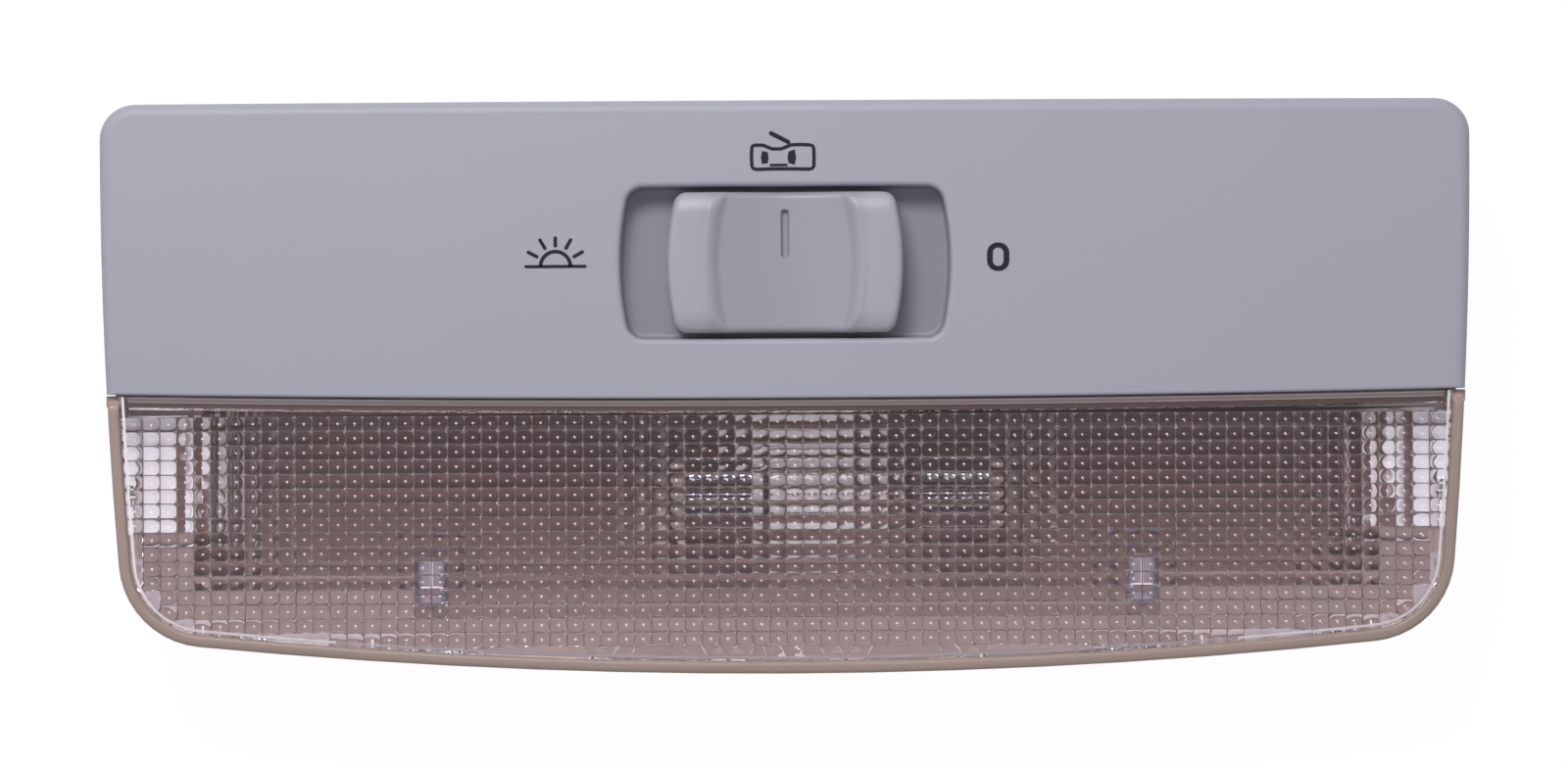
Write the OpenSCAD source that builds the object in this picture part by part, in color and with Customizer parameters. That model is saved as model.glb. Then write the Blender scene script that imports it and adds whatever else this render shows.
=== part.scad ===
// Car dome light, lying on its back with the lit face up.
// X runs along the lamp, Y towards the switch side and Z out of the lit face.
// The origin is the middle of the outline, on the plane of the headliner. Sizes are in millimetres.

/* [Outline] */
// Length of the lamp
lamp_len = 155.2; // [148:0.2:166]
// Height of the lamp, across its length
lamp_h = 65; // [63:0.2:70]
// Distance from the middle up to the widest place
widest_y = 27; // [22:0.5:28]
// Radius of the bowed ends
end_bow_r = 580; // [450:10:900]
// Radius of the bowed lower edge
lower_bow_r = 665; // [560:5:1200]
// Radius of the nearly straight upper edge
upper_bow_r = 20000; // [8000:1000:40000]
// Radius of the two upper corners
upper_corner_r = 4; // [3.5:0.25:6]
// Radius of the two lower corners
lower_corner_r = 10; // [8:0.5:13]

/* [Joint line between panel and lens] */
// Place of the joint line in the middle
joint_y = -1.35; // [-2:0.05:-0.8]
// Radius of the bowed joint line
joint_bow_r = 3800; // [2500:100:9000]
// Gap between panel and lens
joint_gap = 0.3; // [0.2:0.05:0.5]

/* [Front panel] */
// Height of the panel's face above the headliner
panel_face_z = 9; // [8.8:0.1:10]
// Thickness of the panel's face
panel_face_t = 2; // [1.6:0.1:2.2]
// Thickness of the panel's side walls
panel_wall = 2; // [1.4:0.1:2.4]
// Radius round the panel's outer edge
panel_round = 1.3; // [0.8:0.1:1.6]
// Bow of the recess's ends
recess_bow = 1.1; // [0.6:0.1:1.4]
// Corner radius of the recess
recess_corner_r = 2; // [1.5:0.1:3]
// Depth of the recess
recess_depth = 3.8; // [3.4:0.1:4]
// Width of the chamfer round the recess
recess_chamfer = 0.6; // [0.3:0.1:0.9]
// Thickness of the recess's floor and walls
recess_wall = 1.6; // [1.2:0.1:1.7]
// Place of the recess's middle
switch_y = 14.1; // [13.6:0.1:14.4]

/* [Lens] */
// Height of the lens's face above the headliner
lens_face_z = 8.6; // [8.2:0.1:9]
// Thickness of the lens's face
lens_face_t = 2; // [1.7:0.1:2.2]
// Thickness of the lens's side walls
lens_wall = 0.9; // [0.7:0.1:1.2]
// Radius round the lens's outer edge
lens_round = 1; // [0.6:0.1:1.4]
// Width of one cell of the pattern
cell_w = 1.92; // [1.8:0.04:2.6]
// Height of one cell of the pattern
cell_h = 1.64; // [1.56:0.04:2.4]
// Height of the bulge of a cell
cell_bulge = 0.45; // [0.25:0.05:0.6]
// Clear border between the pattern and the lens's walls
cell_border = 0.15; // [0.1:0.05:0.8]
// Distance from the middle to each snap lug of the lens
lug_x = 40.3; // [38:0.1:43]
// Width of a snap lug
lug_w = 2.8; // [2.4:0.1:3.4]
// Width of a tab under the panel
tab_w = 8; // [6:0.5:12]
// Distance between the tabs under the panel
tab_pitch = 48; // [40:1:54]

/* [Knob and slider] */
// Length of the knob
knob_len = 26.7; // [25.5:0.1:27]
// Height of the knob
knob_h = 16; // [15:0.1:16.4]
// Corner radius of the knob
knob_corner_r = 1.5; // [1:0.1:2.5]
// Room left at each end of the recess with the knob at its stop
knob_end_gap = 0.75; // [0.4:0.05:1.2]
// Room between the knob and each long side of the recess
knob_side_gap = 0.85; // [0.4:0.05:1.2]
// Width of each raised ridge
ridge_w = 5.6; // [4.5:0.1:6.5]
// Height of the ridges above the recess's floor
ridge_rise = 5.4; // [4.8:0.1:6]
// Depth of the dish between the ridges
dish_depth = 2.1; // [1.2:0.1:2.6]
// Length of the indicator groove
groove_len = 5.6; // [4:0.1:7]
// Width of the indicator groove
groove_w = 1; // [0.8:0.1:1.4]
// Depth of the indicator groove
groove_depth = 0.5; // [0.3:0.1:0.8]
// Travel of the switch each way
travel = 4.6; // [4:0.1:4.8]
// Length of the knob's stem
stem_len = 4; // [3:0.1:5]
// Width of the knob's stem
stem_w = 5.6; // [5.2:0.1:6]
// Length of the slider
slider_len = 18; // [16:0.5:19]
// Width of the slider
slider_w = 12; // [11.6:0.1:12.6]
// Thickness of the slider
slider_t = 4.1; // [3.6:0.1:4.4]
// Wall of the slider's neck round the stem
neck_wall = 1.5; // [1:0.1:2]
// Radius of a detent notch
notch_r = 1.3; // [1.1:0.1:1.6]

/* [Housing] */
// Thickness of the flange
flange_t = 1.8; // [1.5:0.1:2]
// Thickness of the rim round the lens
rim_t = 1.3; // [1:0.05:1.6]
// Height of the rim above the headliner
rim_z = 7.8; // [7.2:0.1:8]
// Radius round the rim's outer edge
rim_round = 0.6; // [0.3:0.1:0.9]
// Overhang of the panel past the flange and the rim
rim_inset = 0.35; // [0.2:0.05:0.6]
// Gap between the rim and the lens
lens_gap = 0.15; // [0.1:0.05:0.3]
// Width that the lamp covers past the tray, at each end
end_cover = 8.1; // [7:0.1:9]
// Width that the lamp covers past the tray, at the upper edge
top_cover = 7; // [6.5:0.1:7.5]
// Width that the lamp covers past the tray, at the lower edge
bottom_cover = 8; // [7.5:0.1:8.5]
// Depth of the tray behind the headliner
tray_depth = 12; // [11.5:0.1:14]
// Thickness of the tray's walls and floor
tray_wall = 1.8; // [1.4:0.1:2]
// Corner radius of the tray
tray_corner_r = 5; // [3:0.5:8]
// Height of the ribs on the tray's back
back_rib_h = 1; // [0.6:0.1:2]
// Thickness of the ribs
rib_t = 1.2; // [0.9:0.1:1.6]
// Radius of a screw boss
boss_r = 3; // [2.6:0.1:3.2]
// Radius of a screw's shank
screw_r = 1.2; // [0.9:0.05:1.4]
// Radius of a screw's head
screw_head_r = 2.3; // [1.9:0.05:2.6]
// Height of a screw's countersunk head
screw_head_h = 1.1; // [0.8:0.05:1.1]
// Length of a screw below the cover
screw_len = 7; // [5:0.5:10]
// Thickness of the switch cover
cover_t = 1.5; // [1:0.1:1.5]

/* [Connector] */
// Distance between the tray's end and the socket
socket_end_gap = 5.7; // [5:0.1:8]
// Inner width of the socket
socket_w = 18.4; // [17:0.2:20]
// Inner height of the socket
socket_h = 6.9; // [6:0.1:7.2]
// Depth of the socket
socket_depth = 15; // [12:0.5:16]
// Distance between the blades
blade_pitch = 5; // [4:0.1:5.4]
// Width of a blade
blade_w = 2.3; // [1.8:0.1:2.8]
// Free length of a blade in the socket
blade_len = 8.5; // [6:0.5:10]

/* [Metal strips] */
// Thickness of the contact strips
strip_t = 0.6; // [0.4:0.05:0.8]
// Width of the contact strips
strip_w = 2; // [1.6:0.1:2]
// Distance of the contact tracks from the slider's middle line
track_offset = 4.6; // [4.4:0.1:4.8]
// Thickness of the reflector sheet
reflector_t = 0.5; // [0.3:0.05:0.8]
// Thickness of the spring sheet
spring_t = 0.3; // [0.2:0.05:0.4]
// Thickness of the retaining clips
clip_t = 0.6; // [0.4:0.05:0.8]
// Width of the retaining clips
clip_w = 12; // [9:0.5:14]
// Bulge of the retaining clips past the tray
clip_bulge = 4.4; // [3.4:0.1:5]

/* [Bulb] */
// Length of the bulb over its tips
bulb_len = 38; // [36:0.1:39.5]
// Radius of the glass
glass_r = 4.75; // [4:0.05:5.4]
// Radius of the caps
cap_r = 3.5; // [3:0.05:3.8]
// Length of a cap without its tip
cap_len = 8; // [6:0.1:9]
// Length of the pointed tip
tip_len = 1.5; // [1.2:0.1:2]
// Place of the bulb's middle along the lamp
bulb_x = 5.8; // [2:0.1:8]
// Place of the bulb's middle across the lamp
bulb_y = -12.1; // [-13:0.1:-11.5]
// Height of the bulb's middle
bulb_z = -1.2; // [-1.6:0.1:0]

/* [Hidden] */
$fn = 48;

// Room for the headliner between the flange and the clips
headliner_t = 2.1;

// Clearances
running = 0.3;
snap_gap = 0.3;
contact_gap = 0.1;
bury = 0.4;
through = 1;
far = 200;

// Steps on the arcs of an outline, and on a rounded edge
corner_steps = 5;
large_corner_r = 6;
side_steps = 6;
bow_steps = 7;
round_steps = 4;

// Levels of the housing
tray_floor_z = -tray_depth + tray_wall;
tray_half = lamp_len / 2 - end_cover;
tray_top = lamp_h / 2 - top_cover;
tray_bottom = -lamp_h / 2 + bottom_cover;
inner_half = tray_half - tray_wall;
inner_top = tray_top - tray_wall;
inner_bottom = tray_bottom + tray_wall;
rest_z = -tray_depth - back_rib_h;
socket_half = socket_w / 2;
socket_x = -inner_half + socket_end_gap + tray_wall + socket_half;

// Seat of the lens inside the rim, on the tabs of the reflector
lens_inset = rim_inset + rim_t + lens_gap;
lens_base_z = flange_t + reflector_t;
lip_h = 1.3;
lip_round = 0.3;

// Wall between the lamp well and the switch chamber
divider_t = 1.8;
divider_y = joint_y + 0.05;
well_top = divider_y - divider_t / 2;
chamber_bottom = divider_y + divider_t / 2;

// Lead frame
bed_z = tray_floor_z + 3.6;
strip_top = bed_z + strip_t;

// Levels of the switch, from the panel down
recess_floor_z = panel_face_z - recess_depth;
tub_bottom_z = recess_floor_z - recess_wall;
cover_top_z = tub_bottom_z - running;
cover_z = cover_top_z - cover_t;
slider_top_z = cover_z - running;
slider_z = slider_top_z - slider_t;
knob_z = recess_floor_z + running;
stem_z = slider_z + 1.6;
neck_len = stem_len + 2 * neck_wall;
neck_w = stem_w + 2 * neck_wall;

// Chamber of the slider
rail_t = 1;
rail_y = slider_w / 2 + running;
stop_gap = 0.8;
chamber_half = slider_len / 2 + travel + stop_gap;
boss_x = chamber_half + stop_gap + boss_r;
recess_len = knob_len + 2 * (travel + knob_end_gap);
recess_h = knob_h + 2 * knob_side_gap;

// Reflector
rib_top_z = tray_floor_z + 2.6;
reflector_floor_z = rib_top_z + reflector_t / 2;
reflector_tab_z = flange_t + reflector_t / 2;
ramp_len = 6.5;
tab_low_y = -16.3;
tab_high_y = -3.3;

// Bulb and its contacts
bulb_half = bulb_len / 2;
cap_wall = 0.3;
glass_half = bulb_half - tip_len - cap_len;
neck_r = cap_r - cap_wall - 0.1;
neck_in = 5;
tip_r = 1.2;
contact_h = bulb_z + cap_r + 0.4;
contact_w = 7;
foot_len = 5;
contact_x = bulb_half - 0.55 * tip_len;
shoulder_r = cap_r - 0.6;
contact_hole_r = tip_r + 0.55 * (shoulder_r - tip_r) + 0.05;

// Distance along X of a circle's edge, for a height y
function circle_x(c, r, y) = c[0] + sqrt(r * r - pow(y - c[1], 2));

// Centre of a circle of radius r that touches two larger circles from inside, on the right
function fillet_centre(a, ra, b, rb, r) =
    let (d = norm(b - a), u = (b - a) / d, p = ra - r, q = rb - r,
        along = (p * p - q * q + d * d) / (2 * d),
        across = sqrt(p * p - along * along),
        one = a + along * u + across * [u[1], -u[0]],
        two = a + along * u - across * [u[1], -u[0]])
    one[0] > two[0] ? one : two;

function heading(from, to) = atan2(to[1] - from[1], to[0] - from[0]);

// Points of an arc after its first one
function arc_rest(c, r, from, to, steps) =
    [for (k = [1:steps]) c + r * [cos(from + (to - from) * k / steps), sin(from + (to - from) * k / steps)]];

// A large corner gets twice the steps
function steps_round(r) = r > large_corner_r ? 2 * corner_steps : corner_steps;

// A closed outline of four bowed sides and four round corners, alike on the left and the right
// shape = [half width, height of the widest place, side radius, top, top radius, bottom,
//     bottom radius, upper corner radius, lower corner radius]
function side_centre(s) = [s[0] - s[2], s[1]];
function top_centre(s) = [0, s[3] - s[4]];
function bottom_centre(s) = [0, s[5] + s[6]];
function upper_centre(s) = fillet_centre(side_centre(s), s[2], top_centre(s), s[4], s[7]);
function lower_centre(s) = fillet_centre(side_centre(s), s[2], bottom_centre(s), s[6], s[8]);
function half_outline(s, inset) =
    let (side = side_centre(s), top = top_centre(s), bottom = bottom_centre(s),
        upper = upper_centre(s), lower = lower_centre(s),
        a = heading(top, upper), b = heading(side, upper),
        c = heading(side, lower), d = heading(bottom, lower))
    concat(arc_rest(top, s[4] - inset, 90, a, bow_steps),
        arc_rest(upper, s[7] - inset, a, b, steps_round(s[7])),
        arc_rest(side, s[2] - inset, b, c, side_steps),
        arc_rest(lower, s[8] - inset, c, d, steps_round(s[8])),
        arc_rest(bottom, s[6] - inset, d, -90, bow_steps));
function outline(s, inset = 0) =
    let (half = half_outline(s, inset), last = len(half) - 1)
    concat([[0, s[3] - inset]], half,
        [for (k = [last - 1:-1:0]) [-half[k][0], half[k][1]]]);

lamp = [lamp_len / 2, widest_y, end_bow_r, lamp_h / 2, upper_bow_r, -lamp_h / 2, lower_bow_r,
    upper_corner_r, lower_corner_r];

// A rectangle whose two ends bow outwards
function bowed(len, h, bow, r) =
    [len / 2, 0, (h * h / 4 + bow * bow) / (2 * bow), h / 2, 100 * h, -h / 2, 100 * h, r, r];
recess = bowed(recess_len, recess_h, recess_bow, recess_corner_r);
knob = bowed(knob_len, knob_h, recess_bow, knob_corner_r);

function lamp_half(y) = circle_x(side_centre(lamp), lamp[2], y);
function joint_at(x) = joint_y + joint_bow_r - sqrt(joint_bow_r * joint_bow_r - x * x);

// A rectangle with round corners
function round_rect(x0, x1, y0, y1, r) =
    concat(arc_points([x1 - r, y1 - r], r, 90, 0), arc_points([x1 - r, y0 + r], r, 0, -90),
        arc_points([x0 + r, y0 + r], r, 270, 180), arc_points([x0 + r, y1 - r], r, 180, 90));
function arc_points(c, r, from, to) =
    concat([c + r * [cos(from), sin(from)]], arc_rest(c, r, from, to, corner_steps));

// The edge of a sheet of thickness t along a path of points
function way(a, b) = (b - a) / norm(b - a);
function left_of(u) = [-u[1], u[0]];
function mitre(path, k) =
    let (n = len(path),
        u = left_of(way(path[max(k - 1, 0)], path[max(k, 1)])),
        v = left_of(way(path[min(k, n - 2)], path[min(k + 1, n - 1)])))
    (u + v) / (1 + u * v);
function sheet(path, t) =
    let (n = len(path))
    concat([for (k = [0:n - 1]) path[k] + t / 2 * mitre(path, k)],
        [for (k = [n - 1:-1:0]) path[k] - t / 2 * mitre(path, k)]);

module box(x0, x1, y0, y1, z0, z1) {
    translate([x0, y0, z0]) cube([x1 - x0, y1 - y0, z1 - z0]);
}

module slab(points, z0, z1) {
    translate([0, 0, z0]) linear_extrude(z1 - z0) polygon(points);
}

// A bent sheet whose path lies in XZ, from y0 to y1
module bent_sheet(path, t, y0, y1) {
    translate([0, y1, 0]) rotate([90, 0, 0]) linear_extrude(y1 - y0) polygon(sheet(path, t));
}

// A closed solid through rings that have as many points each
module skin(rings) {
    n = len(rings[0]);
    last = (len(rings) - 1) * n;
    polyhedron(
        points = [for (ring = rings) each ring],
        faces = concat(
            [[for (k = [n - 1:-1:0]) k]],
            [for (j = [0:len(rings) - 2], k = [0:n - 1])
                let (a = j * n + k, b = j * n + (k + 1) % n) [a, b, b + n]],
            [for (j = [0:len(rings) - 2], k = [0:n - 1])
                let (a = j * n + k, b = j * n + (k + 1) % n) [a, b + n, a + n]],
            [[for (k = [0:n - 1]) last + k]]));
}

// A block with the lamp's outline, drawn in by inset, and a round upper edge
module lamp_block(base, face, r, inset = 0) {
    levels = concat([[inset, base]],
        [for (k = [0:round_steps])
            [inset + r * (1 - cos(90 * k / round_steps)),
                face - r + r * sin(90 * k / round_steps)]]);
    skin([for (level = levels) [for (p = outline(lamp, level[0])) [p[0], p[1], level[1]]]]);
}

// Everything on the switch side of the joint line, from `shift` above it, or on the lens side
module beyond_joint(shift, side, z0, z1) {
    half = lamp_len / 2 + 5;
    steps = 2 * bow_steps;
    slab(concat([for (k = [0:steps])
            let (x = -half + 2 * half * k / steps) [x, joint_at(x) + shift]],
        [[half, side * far], [-half, side * far]]), z0, z1);
}

// A leg with a hooked end, against a wall at x = 0 whose far side is at x > 0
module snap_leg(w, t, top_z, hook_z, reach) {
    back = -t - snap_gap;
    tip_z = hook_z - hook_rise - 1;
    rotate([90, 0, 0]) translate([0, 0, -w / 2]) linear_extrude(w)
        polygon([[back, top_z], [back, tip_z], [back / 2 - snap_gap / 2, tip_z],
            [-snap_gap, hook_z - hook_rise], [reach, hook_z - 0.8], [reach, hook_z],
            [-snap_gap, hook_z], [-snap_gap, top_z]]);
}

leg_w = 7;
leg_t = 1.5;
leg_reach = 1.1;
leg_hook_z = -1.2;
lug_hook_z = -3.6;
hook_rise = 2.2;
lug_t = 3;
side_leg_y = 14;
top_leg_x = 33;
window_gap = 0.4;

// The window in a wall for the hook of a leg
module leg_window(w, hook_z) {
    box(-0.5, tray_wall + through, -w / 2 - window_gap, w / 2 + window_gap,
        hook_z - hook_rise - window_gap, hook_z + window_gap);
}

// Places of the panel's four legs
module at_panel_legs() {
    for (s = [-1, 1]) {
        translate([s * inner_half, side_leg_y, 0]) rotate([0, 0, s > 0 ? 0 : 180]) children();
        translate([s * top_leg_x, inner_top, 0]) rotate([0, 0, 90]) children();
    }
}

// Places of the lens's two lugs
module at_lens_lugs() {
    for (s = [-1, 1]) translate([s * lug_x, inner_bottom, 0]) rotate([0, 0, -90]) children();
}

module front_panel() {
    inner_z = panel_face_z - panel_face_t;
    wall_low_z = flange_t + 2.1;
    color([0.62, 0.62, 0.68])
    difference() {
        union() {
            difference() {
                intersection() {
                    lamp_block(flange_t, panel_face_z, panel_round);
                    beyond_joint(joint_gap / 2, 1, 0, panel_face_z + through);
                }
                intersection() {
                    slab(outline(lamp, panel_wall), 0, inner_z);
                    beyond_joint(joint_gap / 2 + panel_wall, 1, -through, inner_z + through);
                }
                panel_wall_cut(wall_low_z);
            }
            translate([0, switch_y, 0])
                slab(outline(recess, -recess_wall), tub_bottom_z, panel_face_z - panel_face_t / 2);
            at_panel_legs() snap_leg(leg_w, leg_t, inner_z + bury, leg_hook_z, leg_reach);
        }
        translate([0, switch_y, 0]) {
            slab(outline(recess, 0), recess_floor_z, panel_face_z + through);
            skin([for (level = [[0, -recess_chamfer], [-recess_chamfer * 1.5, recess_chamfer / 2]])
                [for (p = outline(recess, level[0])) [p[0], p[1], panel_face_z + level[1]]]]);
            stem_slot(tub_bottom_z - through, recess_floor_z + through);
        }
    }
}

// Room under the panel's lower wall for the lens's tabs
module panel_wall_cut(z) {
    half = lamp_half(joint_y + panel_wall + through) - panel_wall - bury;
    box(-half, half, joint_y - through, joint_y + panel_wall + through + 0.5, 0, z);
}

// The slot that the knob's stem slides in
module stem_slot(z0, z1) {
    half = stem_len / 2 + travel + running;
    slab(round_rect(-half, half, -stem_w / 2 - running, stem_w / 2 + running, 0.8), z0, z1);
}

// True where a point lies inside the lamp's outline by at least m
function inside(p, m) =
    let (lower = lower_centre(lamp))
    norm(p - side_centre(lamp)) <= lamp[2] - m
    && norm(p - bottom_centre(lamp)) <= lamp[6] - m
    && (p[0] < lower[0] || p[1] > lower[1] || norm(p - lower) <= lamp[8] - m);

// Columns of whole cells on each side of the middle, in one row
cell_margin = lens_inset + lens_wall + cell_border;
cell_top = joint_at(0) - joint_gap / 2 - lens_wall - cell_border;
cell_rows = floor((cell_top + lamp_h / 2 - cell_margin) / cell_h);
function row_y(j) = cell_top - j * cell_h;
function widest(i, y) =
    inside([i * cell_w, y], cell_margin) ? i : widest(i - 1, y);
function row_half(j) = widest(ceil(lamp_len / 2 / cell_w), row_y(j + 1));

// The pattern: one low pyramid to a cell, base down into the lens's plate
module cell_field(plate_z) {
    half = [for (j = [0:cell_rows - 1]) row_half(j)];
    n = half[0];
    across = 2 * n + 1;
    valley_z = plate_z - 0.08;
    inner_z = plate_z + 0.4;
    valleys = across * (cell_rows + 1);
    apexes = 2 * n * cell_rows;
    right = [for (j = [0:cell_rows - 1]) each concat([[half[j], j + 1]],
        j < cell_rows - 1 && half[j] > half[j + 1]
            ? [for (i = [half[j] - 1:-1:half[j + 1]]) [i, j + 1]] : [])];
    top = [for (i = [-n:n]) [i, 0]];
    bottom = [for (i = [half[cell_rows - 1] - 1:-1:1 - half[cell_rows - 1]]) [i, cell_rows]];
    left = [for (k = [len(right) - 1:-1:0]) [-right[k][0], right[k][1]]];
    edge = concat(top, right, bottom, left);
    count = len(edge);
    first = valleys + apexes;
    function at(i, j) = j * across + i + n;
    function apex(i, j) = valleys + j * 2 * n + i + n;
    polyhedron(
        points = concat(
            [for (j = [0:cell_rows], i = [-n:n]) [i * cell_w, row_y(j), valley_z]],
            [for (j = [0:cell_rows - 1], i = [-n:n - 1])
                [(i + 0.5) * cell_w, row_y(j + 0.5), plate_z - cell_bulge]],
            [for (p = edge) [p[0] * cell_w, row_y(p[1]), inner_z]],
            [[0, row_y(cell_rows / 2), inner_z + 0.8]]),
        faces = concat(
            [for (j = [0:cell_rows - 1], i = [-half[j]:half[j] - 1], f = [
                [at(i, j), apex(i, j), at(i + 1, j)],
                [at(i + 1, j), apex(i, j), at(i + 1, j + 1)],
                [at(i + 1, j + 1), apex(i, j), at(i, j + 1)],
                [at(i, j + 1), apex(i, j), at(i, j)]]) f],
            [for (k = [0:count - 1], f = let (m = (k + 1) % count,
                a = at(edge[k][0], edge[k][1]), b = at(edge[m][0], edge[m][1]))
                [[a, b, first + m], [a, first + m, first + k],
                    [first + k, first + m, first + count]]) f]));
}

module lens() {
    inner_z = lens_face_z - lens_face_t;
    color([0.78, 0.74, 0.72, 0.6])
    union() {
        difference() {
            lens_side_of(lens_base_z, lens_face_z, lens_round, lens_inset);
            intersection() {
                slab(outline(lamp, lens_inset + lens_wall), 0, inner_z);
                beyond_joint(-joint_gap / 2 - lens_wall, -1, -through, inner_z + through);
            }
        }
        // Lip along the joint line, which reaches over the ends of the rim
        intersection() {
            lens_side_of(rim_z + contact_gap, lens_face_z - 0.2, lip_round, rim_inset);
            beyond_joint(-joint_gap / 2 - lip_h, 1, 0, lens_face_z + through);
        }
        cell_field(inner_z);
        at_lens_lugs() snap_leg(lug_w, lug_t, inner_z + bury, lug_hook_z, leg_reach);
        for (k = [-1:1]) lens_tab(k * tab_pitch);
    }
}

// The part of a block on the lens side of the joint line
module lens_side_of(base, face, r, inset) {
    intersection() {
        lamp_block(base, face, r, inset);
        beyond_joint(-joint_gap / 2, -1, 0, face + through);
    }
}

// A tab on the lens's upper wall that slips under the panel
module lens_tab(x) {
    y = joint_at(x) - joint_gap / 2;
    box(x - tab_w / 2, x + tab_w / 2, y - lens_wall / 2, y + joint_gap + panel_wall,
        flange_t + running, flange_t + 2.1 - running);
}

// Middle line of a strip that turns at each point
module track(points, w = strip_w, z = bed_z) {
    slab(sheet(points, w), z, z + strip_t);
}

// Middle of each of the socket's three blades, from the left
function blade_x(k) = socket_x + (k - 1) * blade_pitch;
socket_back = tray_top - socket_depth;
socket_wall_y = socket_back - 2;
blade_end = socket_back + blade_len;
run_y = [chamber_bottom + 4.6, chamber_bottom + 7.6];
low_run_y = chamber_bottom + strip_w;
run_gap = 0.6;
door_run_x = socket_x + socket_half + tray_wall + run_gap + strip_w / 2;
ground_run_x = door_run_x + strip_w + run_gap;
pad_gap = 0.6;
pad_w = travel - pad_gap;
ground_pad_x = -travel - pad_w / 2;
door_pad_x = -pad_w / 2;
left_foot_x = bulb_x - contact_x;
right_foot_x = bulb_x + contact_x;

// An upright contact at one end of the bulb, on a foot that points away from it
module bulb_contact(x, side) {
    difference() {
        bent_sheet([[x + side * (foot_len + strip_t / 2), bed_z + strip_t / 2],
            [x + side * strip_t / 2, bed_z + strip_t / 2], [x + side * strip_t / 2, contact_h]],
            strip_t, bulb_y - contact_w / 2, bulb_y + contact_w / 2);
        translate([x - 2, bulb_y, bulb_z]) rotate([0, 90, 0]) cylinder(h = 4, r = contact_hole_r);
    }
}

supply_x = left_foot_x - foot_len + strip_w / 2;
common_x = right_foot_x + foot_len - strip_w / 2 + 1.2;
common_turn = 3.5;
module supply_strip() {
    color([0.72, 0.6, 0.36])
    union() {
        bulb_contact(left_foot_x, -1);
        track([[supply_x, bulb_y], [supply_x, low_run_y], [blade_x(0), low_run_y],
            [blade_x(0), socket_back - bury]]);
        track([[blade_x(0), socket_back - 2 * bury], [blade_x(0), blade_end]], blade_w);
    }
}

module common_strip() {
    y = switch_y - track_offset;
    color([0.72, 0.6, 0.36])
    union() {
        bulb_contact(right_foot_x, 1);
        track([[common_x, bulb_y], [common_x, y - common_turn], [common_x - common_turn, y],
            [-travel - pad_w / 2, y]]);
    }
}

module ground_strip() {
    y = switch_y + track_offset;
    x = ground_run_x;
    color([0.72, 0.6, 0.36])
    union() {
        track([[blade_x(1), blade_end], [blade_x(1), run_y[0]], [x, run_y[0]], [x, y],
            [ground_pad_x + pad_w, y]]);
        box(blade_x(1) - blade_w / 2, blade_x(1) + blade_w / 2, socket_back - bury, blade_end,
            bed_z, strip_top);
    }
}

module door_strip() {
    y = switch_y + track_offset;
    x = door_run_x;
    over_y = inner_top - 0.2 - strip_w / 2;
    mid = door_pad_x + pad_w / 2;
    color([0.72, 0.6, 0.36])
    union() {
        track([[blade_x(2), blade_end], [blade_x(2), run_y[1]], [x, run_y[1]], [x, over_y],
            [mid, over_y], [mid, y]]);
        box(blade_x(2) - blade_w / 2, blade_x(2) + blade_w / 2, socket_back - bury, blade_end,
            bed_z, strip_top);
        box(door_pad_x, door_pad_x + pad_w, y - strip_w / 2, y + strip_w / 2, bed_z, strip_top);
    }
}

socket_mid_z = bed_z + strip_t / 2;
socket_low_z = max(socket_mid_z - socket_h / 2, -tray_depth + 1.2);
socket_high_z = socket_low_z + socket_h;
bed_left = blade_x(0) - 3;
bed_right = common_x + strip_w;
bed_step_y = run_y[1] + strip_w / 2 + 0.8;
socket_roof = 1.6;
latch_w = 6;
latch_len = 3.5;
latch_depth = 1;
post_half_w = contact_w / 2 - 0.5;

module back_housing() {
    color([0.6, 0.54, 0.53])
    difference() {
        union() {
            difference() {
                union() {
                    flange_and_rim();
                    slab(round_rect(-tray_half, tray_half, tray_bottom, tray_top, tray_corner_r),
                        -tray_depth, flange_t / 2);
                    back_ribs();
                    for (s = [-1, 1]) clip_guides(s);
                }
                slab(round_rect(-inner_half, inner_half, chamber_bottom, inner_top,
                    tray_corner_r - tray_wall), tray_floor_z, flange_t + through);
                slab(round_rect(-inner_half, inner_half, inner_bottom, well_top,
                    tray_corner_r - tray_wall), tray_floor_z, flange_t + through);
            }
            contact_bed();
            slider_rails();
            socket_block();
            well_posts();
        }
        socket_cuts();
        strip_notches();
        at_panel_legs() leg_window(leg_w, leg_hook_z);
        at_lens_lugs() leg_window(lug_w, lug_hook_z);
        for (s = [-1, 1]) {
            translate([s * boss_x, switch_y, tray_floor_z]) cylinder(h = far, r = screw_r + 0.05);
            for (k = [0:3]) vent(s * (34 + 5 * k));
        }
    }
}

// The flange, with a raised rim round the lens
module flange_and_rim() {
    difference() {
        lamp_block(0, rim_z, rim_round, rim_inset);
        intersection() {
            slab(outline(lamp, rim_inset + rim_t), flange_t, rim_z + through);
            beyond_joint(through, -1, 0, rim_z + 2 * through);
        }
        beyond_joint(-joint_gap / 2, 1, flange_t, rim_z + 2 * through);
    }
}

// Raised ribs on which the housing lies
module back_ribs() {
    half = tray_half - tray_corner_r - rib_t;
    low = tray_bottom + tray_corner_r - rib_t;
    high = tray_top - tray_corner_r + rib_t;
    span = high - low;
    for (y = [low + span / 10, high - span / 10])
        box(-half, half, y - rib_t / 2, y + rib_t / 2, rest_z, -tray_depth + bury);
    for (k = [-3:3])
        box(k * half / 3 - rib_t / 2, k * half / 3 + rib_t / 2, low, high, rest_z,
            -tray_depth + bury);
}

// A vent through the floor of the lamp well
module vent(x) {
    slab(round_rect(x - 1, x + 1, bulb_y - 5, bulb_y + 5, 0.9), rest_z - through,
        tray_floor_z + through);
}

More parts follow.
